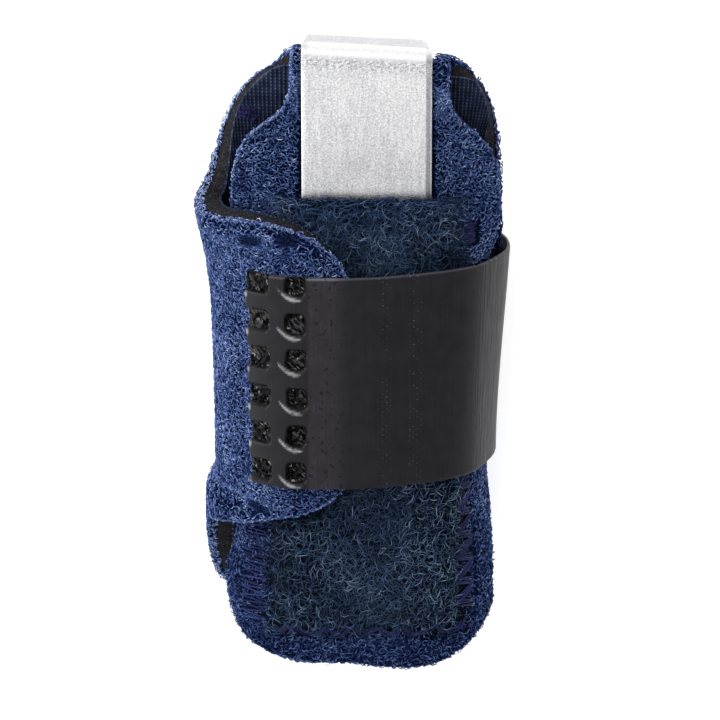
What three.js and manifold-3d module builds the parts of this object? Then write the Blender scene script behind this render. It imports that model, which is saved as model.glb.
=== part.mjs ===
// Toe straightener: a soft splint that lies on its back, toe tip towards +Y, front face up.
// One laminated sheet is folded over the toe tip. Its front panel carries a pocket with a metal stay,
// its back panel has a short right wing and a long left wing that comes round the front as a flap.
// A hook strap is welded to the flap and runs round the right side to the back.
// Millimetres, +Z up. While building, Y = 0 is the outermost point of the fold.

import * as THREE from 'three';
import { mergeVertices } from 'three/addons/utils/BufferGeometryUtils.js';
import Module from 'manifold-3d';

const wasm = await Module();
wasm.setup();

// Layers of the sheet, from the lining outwards
const LINING = 0.3;
const FOAM = 1.7;
const PILE = 0.7;
const LAYER_GAP = 0.05;
const SHEET = LINING + FOAM + PILE + 2 * LAYER_GAP;

// Hook strap: a 25 mm tape that touches the floor with its back
const STRAP = 0.9;
const STRAP_WIDTH = 25.1;
const STRAP_TOP = 24.3;
const STRAP_END = -10;
const STRAP_GAP = 0.2;

// Toe space, fold and lengthwise run of the back
const TOE_HEIGHT = 14.5;
const BACK_Z = STRAP + STRAP_GAP + SHEET;
const FRONT_Z = BACK_Z + TOE_HEIGHT;
const FOLD_RADIUS = 0.3;
const FOLD_PRESS = 0.7;
const PRESS_REACH = 7;
const FOLD_TURN = (Math.PI / 2) * (FOLD_RADIUS + (SHEET * FOLD_PRESS) / 2);
const FOLD_Y = -(FOLD_RADIUS + SHEET * FOLD_PRESS);
const FOLD_Z = FRONT_Z + SHEET * (1 - FOLD_PRESS) - FOLD_RADIUS;
const BACK_RUN = 28;
const FOLD_SKEW = 0.085;
const SKEW_REACH = 16;

// Front panel: neck, shoulders and arched sides
const NECK = 9.1;
const FRONT_LENGTH = 73.4;
const FRONT_CORNER = 7.5;
const CORNER_START = 0.36;
const ARCH_FLAT = 5.2;
const ARCH_RADIUS = 8.3;
const ARCH_REACH = 33;
const FRONT_SIDES = [
  { down: 0, left: 9.1, right: 9.1 },
  { down: 4, left: 9.0, right: 9.3 },
  { down: 6.4, left: 10.0, right: 10.4 },
  { down: 8, left: 11.8, right: 12.0 },
  { down: 10, left: 13.9, right: 13.8 },
  { down: 12.5, left: 14.8, right: 14.7 },
  { down: 16, left: 15.2, right: 15.0 },
  { down: 57, left: 15.2, right: 15.0 },
  { down: 66, left: 16.6, right: 15.0 },
  { down: 73.4, left: 16.6, right: 14.8 },
];

// Back panel: cross-section of its two wings, and the edges that they are cut to
const LEFT_SIDE = 16.9;
const RIGHT_SIDE = 13.5;
const LOWER_BEND = 8.3;
const SIDE_WALL = 0.5;
const FLAP_BEND = 11.4;
const FLAP_Z = BACK_Z + LOWER_BEND + SIDE_WALL + FLAP_BEND;
const FLAP_END = 44.2;
const RIGHT_END = 18.6;
const CURL_REACH = 12;
const RIGHT_CURL = 0.7;
const FLAP_LIFT = 0.9;
const LIFT_REACH = 4;
const LIFT_FROM = 24;
const LIFT_TO = 43;
const LIFT_RAMP = 5;
const BACK_TOP_EDGE = [
  { girth: -44.2, down: 26.5 },
  { girth: -43, down: 23.3 },
  { girth: -40.4, down: 19.8 },
  { girth: -37.5, down: 17.5 },
  { girth: -33, down: 16.6 },
  { girth: -27, down: 16.6 },
  { girth: -20, down: 17 },
  { girth: -18.6, down: 16.4 },
  { girth: -17.4, down: 13.5 },
  { girth: -16.6, down: 10.5 },
  { girth: -15.5, down: 7.7 },
  { girth: -13.9, down: 5.3 },
  { girth: -11.4, down: 2.5 },
  { girth: -9.1, down: 0 },
  { girth: 9.1, down: 0 },
  { girth: 12.4, down: 1.9 },
  { girth: 14.3, down: 5 },
  { girth: 15.3, down: 6.8 },
  { girth: 16, down: 10.8 },
  { girth: 16.4, down: 17.2 },
  { girth: 17.5, down: 21 },
  { girth: 18.6, down: 25 },
];
const BACK_BOTTOM_EDGE = [
  { girth: -44.2, down: 46.5 },
  { girth: -42.9, down: 49 },
  { girth: -41, down: 50.8 },
  { girth: -38, down: 52.4 },
  { girth: -35, down: 53.4 },
  { girth: -31.4, down: 54.4 },
  { girth: -27, down: 55.6 },
  { girth: -25.2, down: 56.5 },
  { girth: -23.5, down: 59.5 },
  { girth: -21, down: 63.5 },
  { girth: -18, down: 67 },
  { girth: -14, down: 69 },
  { girth: -8, down: 70 },
  { girth: 0, down: 70.3 },
  { girth: 8, down: 70 },
  { girth: 13, down: 68.5 },
  { girth: 16, down: 65 },
  { girth: 18.6, down: 58 },
];

// How far the wrapped strap draws the sides in, in mm at each side
const DRAWN_FROM = 7.6;
const DRAWN_FULL = 13.5;
const DRAWN_IN = [
  { down: 0, wing: 0, front: 0, right: 0 },
  { down: 12, wing: 0, front: 0, right: 0 },
  { down: 16.5, wing: 0.1, front: 0, right: 0.1 },
  { down: 25, wing: 1.3, front: 0.9, right: 0.7 },
  { down: 49, wing: 1.4, front: 0.9, right: 2.1 },
  { down: 54, wing: 0.3, front: 0.2, right: 1.3 },
  { down: 60, wing: 0.4, front: -0.1, right: 0.9 },
  { down: 65, wing: 0.8, front: -1.0, right: 0.7 },
  { down: 73.4, wing: 1.6, front: -1.0, right: 0.6 },
];

// Metal stay and the pocket that it slides into
const STAY = 0.9;
const STAY_WIDTH = 14.8;
const STAY_END = 64;
const STAY_CORNER = 1.5;
const STAY_BEND = 0.6;
const STAY_GAP = 0.25;
const STAY_BACK_LEG = 8;
const STAY_SKEW_FRONT = 0.11;
const STAY_SKEW_BACK = 0.05;
const POCKET = 1.0;
const POCKET_GAP = 0.25;
const POCKET_LEFT = 11;
const POCKET_RIGHT = 11.2;
const POCKET_TOP = 15.3;
const POCKET_BOTTOM = 70;
const POCKET_CORNER = 3;
const POCKET_CORNER_START = 0.75;
const POCKET_TAPER = 3;
const POCKET_RISE = 1.25;
const POCKET_RISE_FLAT = 7.5;
const POCKET_RISE_END = 9.5;

// Strap route over the right shoulder, seen along the toe, on the strap's inner face
const STRAP_SHOULDER = [
  { x: -2, z: 27.2 },
  { x: 2, z: 26.5 },
  { x: 6, z: 25.1 },
  { x: 9, z: 23.8 },
  { x: 12.3, z: 21.8 },
  { x: 15, z: 17.8 },
  { x: 16.3, z: 14.8 },
];
const STRAP_LEFT_ANGLE = 38;
const STRAP_OVER_FLAP = 0.4;

// Weld pits at the strap's left end, open towards that end
const PIT_ROWS = 6;
const PIT_PITCH = 4.42;
const PIT_SIZE = 2.6;
const PIT_DEPTH = 0.5;
const PIT_FIRST_ROW = 1.2;
const PIT_COLUMNS = [{ from: -1, to: 2.6 }, { from: 5.3, to: 8.1 }];

const smooth = (x) => THREE.MathUtils.smoothstep(x, 0, 1);
const mix = THREE.MathUtils.lerp;
const clamp = THREE.MathUtils.clamp;

// A curve through table rows that never overshoots them
function track(rows, key, value) {
  const x = rows.map((row) => row[key]);
  const y = rows.map((row) => row[value]);
  const slope = x.slice(1).map((next, i) => (y[i + 1] - y[i]) / (next - x[i]));
  const tangent = x.map((_, i) => {
    const before = slope[i - 1] ?? slope[0];
    const after = slope[i] ?? slope[slope.length - 1];
    return before * after <= 0 ? 0 : (2 * before * after) / (before + after);
  });
  return (at) => {
    const t = clamp(at, x[0], x[x.length - 1]);
    const i = clamp(x.findIndex((end) => end >= t) - 1, 0, x.length - 2);
    const step = x[i + 1] - x[i];
    const f = (t - x[i]) / step;
    const g = 1 - f;
    return y[i] * g * g * (1 + 2 * f) + y[i + 1] * f * f * (1 + 2 * g)
      + step * f * g * (tangent[i] * g - tangent[i + 1] * f);
  };
}

// Even steps from one place to the next, as one list
function stations(places, steps) {
  const list = [places[0]];
  steps.forEach((count, k) => {
    for (let i = 1; i <= count; i += 1) list.push(mix(places[k], places[k + 1], i / count));
  });
  return list;
}

const frontLeft = track(FRONT_SIDES, 'down', 'left');
const frontRight = track(FRONT_SIDES, 'down', 'right');
const backTop = track(BACK_TOP_EDGE, 'girth', 'down');
const backBottom = track(BACK_BOTTOM_EDGE, 'girth', 'down');
const drawnWing = track(DRAWN_IN, 'down', 'wing');
const drawnFront = track(DRAWN_IN, 'down', 'front');
const drawnRight = track(DRAWN_IN, 'down', 'right');

// Share of the full draw at a distance from the middle
const drawShare = (x) => clamp((Math.abs(x) - DRAWN_FROM) / (DRAWN_FULL - DRAWN_FROM), 0, 1);

function drawIn(x, down, drawnLeft, lining = x) {
  const draw = x < 0 ? drawnLeft(down) : drawnRight(down);
  return x - Math.sign(x) * draw * drawShare(lining);
}

const skewed = (x, y, down) => y - FOLD_SKEW * x * (1 - smooth(down / SKEW_REACH));

// The sheet is pressed thin where the stay hooks over the fold
const press = (down) => mix(FOLD_PRESS, 1, smooth(down / PRESS_REACH));

// Lining side of the sheet along its middle, from the fold: side +1 down the front, -1 down the back
function middleLine(down, side) {
  const angle = clamp(down / FOLD_TURN, -1, 1) * (Math.PI / 2);
  const run = Math.max(down - FOLD_TURN, 0);
  const y = FOLD_Y + FOLD_RADIUS * Math.cos(angle) - run;
  const z = FOLD_Z + side * FOLD_RADIUS * Math.sin(angle);
  const settle = side > 0
    ? (FRONT_Z - FOLD_Z - FOLD_RADIUS) * smooth(down / PRESS_REACH)
    : (BACK_Z - FOLD_Z + FOLD_RADIUS) * smooth(run / BACK_RUN);
  return { y, z: z + settle };
}

function frontPoint(across, down) {
  const { y, z } = middleLine(down, 1);
  const reach = Math.abs(across);
  const arch = smooth(down / ARCH_REACH);
  const angle = Math.max(reach - ARCH_FLAT, 0) / ARCH_RADIUS;
  const bent = Math.min(reach, ARCH_FLAT) + ARCH_RADIUS * Math.sin(angle);
  const drop = ARCH_RADIUS * (1 - Math.cos(angle)) * arch;
  const x = drawIn(Math.sign(across) * mix(reach, bent, arch), down, drawnFront);
  return new THREE.Vector3(x, skewed(x, y, down), z - drop);
}

// The flap's upper edge stands a little off the pocket
function flapLift(girth, down) {
  const along = smooth(1 - (down - backTop(girth)) / LIFT_REACH);
  const across = smooth((-girth - LIFT_FROM) / LIFT_RAMP) * smooth((LIFT_TO + girth) / LIFT_RAMP);
  return FLAP_LIFT * along * across;
}

// Cross-section of the back: distance from the middle and height above it at a distance round the girth
function wingSection(girth, lift) {
  const reach = Math.abs(girth);
  const flat = (girth < 0 ? LEFT_SIDE : RIGHT_SIDE) - LOWER_BEND;
  const lower = clamp((reach - flat) / LOWER_BEND, 0, Math.PI / 2);
  const wall = Math.max(reach - flat - (LOWER_BEND * Math.PI) / 2, 0);
  let x = Math.min(reach, flat) + LOWER_BEND * Math.sin(lower);
  let height = LOWER_BEND * (1 - Math.cos(lower)) + wall;
  if (girth < 0 && wall > SIDE_WALL) {
    const upper = Math.min((wall - SIDE_WALL) / FLAP_BEND, Math.PI / 2);
    const flap = Math.max(wall - SIDE_WALL - (FLAP_BEND * Math.PI) / 2, 0);
    x += (FLAP_BEND + lift) * Math.cos(upper) - FLAP_BEND - flap;
    height = LOWER_BEND + SIDE_WALL + (FLAP_BEND + lift) * Math.sin(upper);
  }
  return { x: Math.sign(girth) * x, height };
}

function backPoint(girth, down) {
  const { y, z } = middleLine(down, -1);
  const curl = smooth(down / CURL_REACH);
  const section = wingSection(girth, flapLift(girth, down));
  const x = drawIn(mix(girth, section.x, curl), down, drawnWing);
  const low = girth < 0 ? 1 : mix(RIGHT_CURL, 1, smooth(down / BACK_RUN));
  const stretch = ((FLAP_Z - z) / (FLAP_Z - BACK_Z)) * curl * low;
  return new THREE.Vector3(x, skewed(x, y, down), z + section.height * stretch);
}

// Outward normal of a surface by small steps; turn is +1 or -1
function surfaceNormal(surface, across, down, turn) {
  const step = 1e-3;
  const alongX = surface(across + step, down).sub(surface(across - step, down));
  const alongY = surface(across, down + step).sub(surface(across, down - step));
  return alongX.cross(alongY).normalize().multiplyScalar(turn);
}

// Rows of cells between grid lines; the corner order makes each cell face along its normals
function gridCells(rows, columns, indexAt, flip) {
  const cells = [];
  for (let i = 0; i < rows; i += 1) {
    for (let j = 0; j < columns; j += 1) {
      const cell = [indexAt(i, j), indexAt(i + 1, j), indexAt(i + 1, j + 1), indexAt(i, j + 1)];
      cells.push(flip ? cell.reverse() : cell);
    }
  }
  return cells;
}

// A closed layer between two distances from a grid of points, with its open edges walled
function layerGeometry(points, cells, inner, outer) {
  const count = points.length;
  const position = [];
  for (const level of [outer, inner]) {
    for (const { base, normal, scale = 1, rise = 0 } of points) {
      const at = base.clone().addScaledVector(normal, (level + rise) * scale);
      position.push(at.x, at.y, at.z);
    }
  }
  const index = [];
  const edges = new Map();
  for (const [a, b, c, d] of cells) {
    index.push(a, b, c, a, c, d);
    index.push(count + c, count + b, count + a, count + d, count + c, count + a);
    for (const [from, to] of [[a, b], [b, c], [c, d], [d, a]]) {
      const twin = `${to},${from}`;
      if (edges.has(twin)) edges.delete(twin);
      else edges.set(`${from},${to}`, [from, to]);
    }
  }
  for (const [from, to] of edges.values()) {
    index.push(to, from, count + from, to, count + from, count + to);
  }
  const geometry = new THREE.BufferGeometry();
  geometry.setAttribute('position', new THREE.Float32BufferAttribute(position, 3));
  geometry.setIndex(index);
  return geometry;
}

// The whole sheet as one grid: front panel and back panel share the grid line along the fold
function sheetGrid() {
  const points = [];
  const neckColumns = stations([-1, 1], [8]).map((t) => Math.sin((t * Math.PI) / 2));
  const sidesEnd = FRONT_LENGTH - FRONT_CORNER;
  const frontRows = stations([0, FOLD_TURN, SKEW_REACH, sidesEnd, FRONT_LENGTH], [3, 6, 6, 2]);
  const frontIndex = [];
  frontRows.forEach((row, i) => {
    frontIndex.push([]);
    for (const column of neckColumns) {
      const corner = clamp((Math.abs(column) - CORNER_START) / (1 - CORNER_START), 0, 1);
      const bottom = FRONT_LENGTH - FRONT_CORNER * (1 - Math.sqrt(1 - corner ** 2));
      const down = (row / FRONT_LENGTH) * bottom;
      const across = column * (column < 0 ? frontLeft(down) : frontRight(down));
      frontIndex[i].push(points.length);
      points.push({
        base: frontPoint(across, down),
        normal: surfaceNormal(frontPoint, across, down, -1),
        scale: press(down),
      });
    }
  });

  const bendStart = LEFT_SIDE - LOWER_BEND + (LOWER_BEND * Math.PI) / 2;
  const flapBendStart = bendStart + SIDE_WALL;
  const flapStart = flapBendStart + (FLAP_BEND * Math.PI) / 2;
  const leftGirths = stations([-FLAP_END, -flapStart, -flapBendStart, -bendStart, -NECK], [3, 7, 1, 10]);
  const rightGirths = stations([NECK, RIGHT_END], [7]);
  const girths = [...leftGirths.slice(0, -1), ...neckColumns.map((t) => t * NECK), ...rightGirths.slice(1)];
  const neckStart = leftGirths.length - 1;
  const backLength = backBottom(0);
  const backRows = stations([0, FOLD_TURN, FOLD_TURN + BACK_RUN, backLength], [3, 7, 6]);
  const backIndex = backRows.map((row, i) => girths.map((girth, j) => {
    const neckColumn = j - neckStart;
    if (i === 0 && neckColumn >= 0 && neckColumn < neckColumns.length) return frontIndex[0][neckColumn];
    const down = mix(backTop(girth), backBottom(girth), row / backLength);
    points.push({
      base: backPoint(girth, down),
      normal: surfaceNormal(backPoint, girth, down, 1),
      scale: press(down),
    });
    return points.length - 1;
  }));

  const cells = [
    ...gridCells(frontRows.length - 1, neckColumns.length - 1, (i, j) => frontIndex[i][j], false),
    ...gridCells(backRows.length - 1, girths.length - 1, (i, j) => backIndex[i][j], true),
  ];
  return { points, cells };
}

// A patch over the stay, sewn down on the front panel along its sides and bottom
function pocketGeometry() {
  const points = [];
  const flatLeft = -POCKET_RISE_FLAT / POCKET_LEFT;
  const flatRight = POCKET_RISE_FLAT / POCKET_RIGHT;
  const sides = stations([-1, flatLeft, flatRight, 1], [3, 6, 3]);
  const rows = stations([POCKET_TOP, STAY_END - POCKET_TAPER, POCKET_BOTTOM], [7, 4]);
  const index = rows.map((row) => sides.map((side) => {
    const corner = clamp((Math.abs(side) - POCKET_CORNER_START) / (1 - POCKET_CORNER_START), 0, 1);
    const bottom = POCKET_BOTTOM - POCKET_CORNER * (1 - Math.sqrt(1 - corner ** 2));
    const down = mix(POCKET_TOP, bottom, (row - POCKET_TOP) / (POCKET_BOTTOM - POCKET_TOP));
    const across = side * (side < 0 ? POCKET_LEFT : POCKET_RIGHT);
    const overStay = smooth((POCKET_RISE_END - Math.abs(across)) / (POCKET_RISE_END - POCKET_RISE_FLAT));
    const aboveEnd = smooth((STAY_END + POCKET_TAPER - down) / POCKET_TAPER);
    points.push({
      base: frontPoint(across, down),
      normal: surfaceNormal(frontPoint, across, down, -1),
      rise: SHEET + POCKET_GAP + POCKET_RISE * overStay * aboveEnd,
    });
    return points.length - 1;
  }));
  const cells = gridCells(rows.length - 1, sides.length - 1, (i, j) => index[i][j], false);
  return layerGeometry(points, cells, 0, POCKET);
}

// Lengthwise run of the stay on the face towards the sheet, with how far each place is askew
function stayRun() {
  const frontFace = FRONT_Z + SHEET + STAY_GAP;
  const top = STAY_GAP;
  const backFace = FOLD_Z - FOLD_RADIUS - SHEET * FOLD_PRESS - STAY_GAP;
  const run = [];
  const add = (y, z, normalY, normalZ, skew) => run.push({ y, z, normalY, normalZ, skew });
  for (const down of stations([STAY_END, STAY_END - STAY_CORNER, POCKET_TOP, PRESS_REACH], [3, 2, 1])) {
    add(-down, frontFace, 0, 1, 0);
  }
  const bend = stations([0, Math.PI / 2], [4]);
  for (const angle of bend) {
    const [rise, out] = [Math.cos(angle), Math.sin(angle)];
    add(top - STAY_BEND * (1 - out), frontFace - STAY_BEND * (1 - rise), out, rise, STAY_SKEW_FRONT);
  }
  for (const angle of bend) {
    const [rise, out] = [-Math.sin(angle), Math.cos(angle)];
    add(top - STAY_BEND * (1 - out), backFace + STAY_BEND * (1 + rise), out, rise, STAY_SKEW_BACK);
  }
  const legStart = FOLD_TURN + STAY_BEND;
  const legRun = stations([legStart, STAY_BACK_LEG - STAY_CORNER, STAY_BACK_LEG], [2, 3]);
  for (const down of legRun.slice(1)) {
    const normal = surfaceNormal(backPoint, 0, down, 1);
    const at = backPoint(0, down).addScaledVector(normal, SHEET * press(down) + STAY_GAP);
    add(at.y, at.z, normal.y, normal.z, STAY_SKEW_BACK);
  }
  return run;
}

function stayGeometry() {
  const run = stayRun();
  const columns = stations([-1, 1], [4]);
  const points = [];
  const lengths = [0];
  for (let i = 1; i < run.length; i += 1) {
    lengths.push(lengths[i - 1] + Math.hypot(run[i].y - run[i - 1].y, run[i].z - run[i - 1].z));
  }
  const total = lengths[lengths.length - 1];
  const index = run.map((place, i) => columns.map((column) => {
    const fromEnd = clamp(1 - Math.min(lengths[i], total - lengths[i]) / STAY_CORNER, 0, 1);
    const half = STAY_WIDTH / 2 - STAY_CORNER * (1 - Math.sqrt(1 - fromEnd ** 2));
    const x = column * half;
    points.push({
      base: new THREE.Vector3(x, place.y - place.skew * x, place.z),
      normal: new THREE.Vector3(0, place.normalY, place.normalZ),
    });
    return points.length - 1;
  }));
  const cells = gridCells(run.length - 1, columns.length - 1, (i, j) => index[i][j], true);
  return layerGeometry(points, cells, 0, STAY);
}

// Route of the strap's inner face seen along the toe: over the flap, down the right side, along the back
function strapRoute() {
  const flapCentre = new THREE.Vector2(FLAP_BEND - LEFT_SIDE, FLAP_Z - FLAP_BEND);
  const overFlap = FLAP_BEND + SHEET + STRAP_OVER_FLAP;
  const underside = LOWER_BEND + SHEET + STRAP_GAP;
  const corner = new THREE.Vector2(RIGHT_SIDE - LOWER_BEND, STRAP + underside);
  const left = Math.PI / 2 + THREE.MathUtils.degToRad(STRAP_LEFT_ANGLE);
  const flapTop = new THREE.Vector2(flapCentre.x, flapCentre.y + overFlap);
  const side = new THREE.Vector2(corner.x + underside, corner.y);
  const shoulder = STRAP_SHOULDER.map(({ x, z }) => new THREE.Vector2(x, z));
  const arc = (centre, radius, from, to) => (
    new THREE.EllipseCurve(centre.x, centre.y, radius, radius, from, to, true)
  );
  return [
    ...arc(flapCentre, overFlap, left, Math.PI / 2).getPoints(8),
    ...new THREE.SplineCurve([flapTop, ...shoulder, side]).getSpacedPoints(16).slice(1),
    ...arc(corner, underside, 0, -Math.PI / 2).getPoints(7).slice(1),
    ...stations([corner.x, STRAP_END], [4]).slice(1).map((x) => new THREE.Vector2(x, STRAP)),
  ];
}

// Places on the strap's inner face, with the direction away from the toe
function strapPlaces() {
  const route = strapRoute();
  return route.map((at, i) => {
    const before = route[Math.max(i - 1, 0)];
    const after = route[Math.min(i + 1, route.length - 1)];
    const along = after.clone().sub(before).normalize();
    return { at, normal: new THREE.Vector2(-along.y, along.x) };
  });
}

function strapPoint({ at, normal }, y) {
  const down = -y;
  const lining = at.x - normal.x * (SHEET + STRAP_OVER_FLAP);
  return new THREE.Vector3(drawIn(at.x, down, drawnWing, lining), y, at.y);
}

function strapGeometry() {
  const places = strapPlaces();
  const rows = stations([-STRAP_TOP, -STRAP_TOP - STRAP_WIDTH], [4]);
  const points = [];
  const index = rows.map((y) => places.map((place) => {
    const normal = new THREE.Vector3(place.normal.x, 0, place.normal.y);
    points.push({ base: strapPoint(place, y), normal });
    return points.length - 1;
  }));
  const cells = gridCells(rows.length - 1, places.length - 1, (i, j) => index[i][j], false);
  return layerGeometry(points, cells, 0, STRAP);
}

// One weld pit: a block sunk into the outer face, at a distance from the strap's left end
function pitGeometry(column, row) {
  const overFlap = FLAP_BEND + SHEET + STRAP_OVER_FLAP;
  const middle = (column.from + column.to) / 2;
  const angle = THREE.MathUtils.degToRad(STRAP_LEFT_ANGLE) - middle / overFlap;
  const normal = new THREE.Vector2(-Math.sin(angle), Math.cos(angle));
  const at = new THREE.Vector2(FLAP_BEND - LEFT_SIDE, FLAP_Z - FLAP_BEND).addScaledVector(normal, overFlap);
  const y = -STRAP_TOP - PIT_FIRST_ROW - row * PIT_PITCH;
  const centre = strapPoint({ at, normal }, y);
  const height = 2 * PIT_DEPTH;
  const geometry = new THREE.BoxGeometry(column.to - column.from, PIT_SIZE, height);
  geometry.rotateY(-angle);
  geometry.translate(centre.x + normal.x * STRAP, centre.y, centre.z + normal.y * STRAP);
  return geometry;
}

function toSolid(geometry) {
  const bare = geometry.clone();
  bare.deleteAttribute('normal');
  bare.deleteAttribute('uv');
  const merged = mergeVertices(bare, 1e-4);
  return new wasm.Manifold(new wasm.Mesh({
    numProp: 3,
    vertProperties: new Float32Array(merged.attributes.position.array),
    triVerts: new Uint32Array(merged.index.array),
  }));
}

function toGeometry(solid) {
  const mesh = solid.getMesh();
  const geometry = new THREE.BufferGeometry();
  geometry.setAttribute('position', new THREE.BufferAttribute(mesh.vertProperties, 3));
  geometry.setIndex(new THREE.BufferAttribute(mesh.triVerts, 1));
  return geometry;
}

function weldedStrapGeometry() {
  let solid = toSolid(strapGeometry());
  for (const column of PIT_COLUMNS) {
    for (let row = 0; row < PIT_ROWS; row += 1) {
      solid = solid.subtract(toSolid(pitGeometry(column, row)));
    }
  }
  return toGeometry(solid);
}

function piece(name, geometry, color, roughness, metalness = 0) {
  geometry.computeVertexNormals();
  const mesh = new THREE.Mesh(geometry, new THREE.MeshStandardMaterial({ color, roughness, metalness }));
  mesh.name = name;
  return mesh;
}

const { points, cells } = sheetGrid();
const foamStart = LINING + LAYER_GAP;
const pileStart = foamStart + FOAM + LAYER_GAP;

const group = new THREE.Group();
group.add(
  piece('lining', layerGeometry(points, cells, 0, LINING), 0x1a2230, 0.9),
  piece('foam_core', layerGeometry(points, cells, foamStart, foamStart + FOAM), 0x2a2826, 0.95),
  piece('pile_cover', layerGeometry(points, cells, pileStart, SHEET), 0x3a5590, 0.95),
  piece('stay_pocket', pocketGeometry(), 0x2a3a52, 0.95),
  piece('metal_stay', stayGeometry(), 0xd8d8da, 0.35, 1),
  piece('hook_strap', weldedStrapGeometry(), 0x2b2b30, 0.5),
);

// The origin is under the middle of the whole part, on the floor
const box = new THREE.Box3().setFromObject(group);
const middle = box.getCenter(new THREE.Vector3());
group.position.set(-middle.x, -middle.y, -box.min.z);

export default group;
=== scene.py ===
# Toe straightener: the looks of a pile-faced sheet folded over the toe tip, with its stay, pocket and strap.
# Shapes are worked out in millimetres, with Y = 0 at the outermost point of the fold, X = 0 at the middle of
# the stay and Z = 0 on the floor, and are moved into the shared frame, in metres, as each mesh is made.

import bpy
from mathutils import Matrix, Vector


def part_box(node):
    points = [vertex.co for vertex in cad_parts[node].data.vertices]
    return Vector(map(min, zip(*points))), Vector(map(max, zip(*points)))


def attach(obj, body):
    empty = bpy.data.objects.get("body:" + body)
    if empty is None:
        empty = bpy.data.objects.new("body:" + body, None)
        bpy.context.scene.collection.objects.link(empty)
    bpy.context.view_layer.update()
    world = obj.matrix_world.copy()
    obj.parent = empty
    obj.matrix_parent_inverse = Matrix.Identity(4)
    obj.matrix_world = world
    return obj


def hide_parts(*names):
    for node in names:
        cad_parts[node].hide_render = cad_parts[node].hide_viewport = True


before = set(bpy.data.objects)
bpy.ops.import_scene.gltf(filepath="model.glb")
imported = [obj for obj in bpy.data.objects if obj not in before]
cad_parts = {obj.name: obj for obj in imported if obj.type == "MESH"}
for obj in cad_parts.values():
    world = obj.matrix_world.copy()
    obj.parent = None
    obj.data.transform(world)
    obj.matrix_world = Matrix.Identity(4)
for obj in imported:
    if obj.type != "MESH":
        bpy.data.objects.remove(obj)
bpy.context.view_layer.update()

import math

import bpy
import numpy as np

MM = 0.001

# Layers of the sheet, from the lining outwards
LINING = 0.3
FOAM = 1.7
PILE = 0.7
LAYER_GAP = 0.05
SHEET = LINING + FOAM + PILE + 2 * LAYER_GAP
FOAM_START = LINING + LAYER_GAP
PILE_START = FOAM_START + FOAM + LAYER_GAP
GROUND = 0.45

# Where the pile stands higher: at the fold beside the stay, and on the left wing above and below the strap.
# Then how near a cut edge its loops lean out, and how far.
FOLD_PUFF = 0.6
PUFF_FROM = 7.6
PUFF_RAMP = 0.5
PUFF_REACH = 6
PUFF_TO_LEFT = 7.9
PUFF_TO_RIGHT = 9.4
WING_PUFF = 0.4
WING_PUFF_GIRTH = (-29, -26, -18.6, -16.6)
WING_PUFF_ABOVE = (11, 14, 23, 30)
WING_PUFF_BELOW = (50, 54)
EDGE_REACH = 0.7
EDGE_LEAN = 0.9

# Flap's top edge: foam and lining, and pile, cut back from the plain edge
FLAP_TRIM = 0.5
PILE_TRIM = 0.62
TRIM_FROM = 19
TRIM_RAMP = 5

# Hook strap
STRAP = 0.9
STRAP_WIDTH = 25.1
STRAP_TOP = 24.3
STRAP_BOTTOM = STRAP_TOP + STRAP_WIDTH
STRAP_MIDDLE = (STRAP_TOP + STRAP_BOTTOM) / 2
STRAP_END = -10
STRAP_GAP = 0.2
STRAP_LEFT_ANGLE = math.radians(38)
STRAP_OVER_FLAP = 0.4
STRAP_RAISED = 0.45

# Toe space, fold and lengthwise run of the back
TOE_HEIGHT = 14.5
BACK_Z = STRAP + STRAP_GAP + SHEET
FRONT_Z = BACK_Z + TOE_HEIGHT
FOLD_RADIUS = 0.3
FOLD_PRESS = 0.7
PRESS_REACH = 7
QUARTER = math.pi / 2
FOLD_TURN = QUARTER * (FOLD_RADIUS + SHEET * FOLD_PRESS / 2)
FOLD_Y = -(FOLD_RADIUS + SHEET * FOLD_PRESS)
FOLD_Z = FRONT_Z + SHEET * (1 - FOLD_PRESS) - FOLD_RADIUS
BACK_RUN = 28
FOLD_SKEW = 0.074
SKEW_REACH = 16

# Front panel
NECK_LEFT = 8.55
NECK_RIGHT = 9.1
FRONT_LENGTH = 73.4
ARCH_FLAT = 5.2
ARCH_RADIUS = 8.3
ARCH_REACH = 33

# Its lower edge, which is higher at the left, and corners: depth of the slanting cut, how late it bends down,
# extra depth at the very side. Places across are shares of the panel's half width.
CORNER_START = 0.36
CORNER_TURN = 10
LEFT_CORNER = (5.0, 2.2, 4)
RIGHT_CORNER = (5.6, 1.8, 0.4)
BOTTOM_SLOPE = 0.6
SLOPE_COLUMNS = (0.3, -0.2)

# Its sides: distance down from the fold, left side, right side
FRONT_SIDES = [
    (0, 8.55, 9.1),
    (4, 8.5, 9.3),
    (6.4, 9.6, 10.4),
    (8, 11.6, 12.0),
    (10, 13.9, 13.8),
    (12.5, 14.8, 14.7),
    (16, 15.2, 15.0),
    (57, 15.2, 15.0),
    (66, 16.6, 15.0),
    (73.4, 16.6, 14.8),
]

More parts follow.
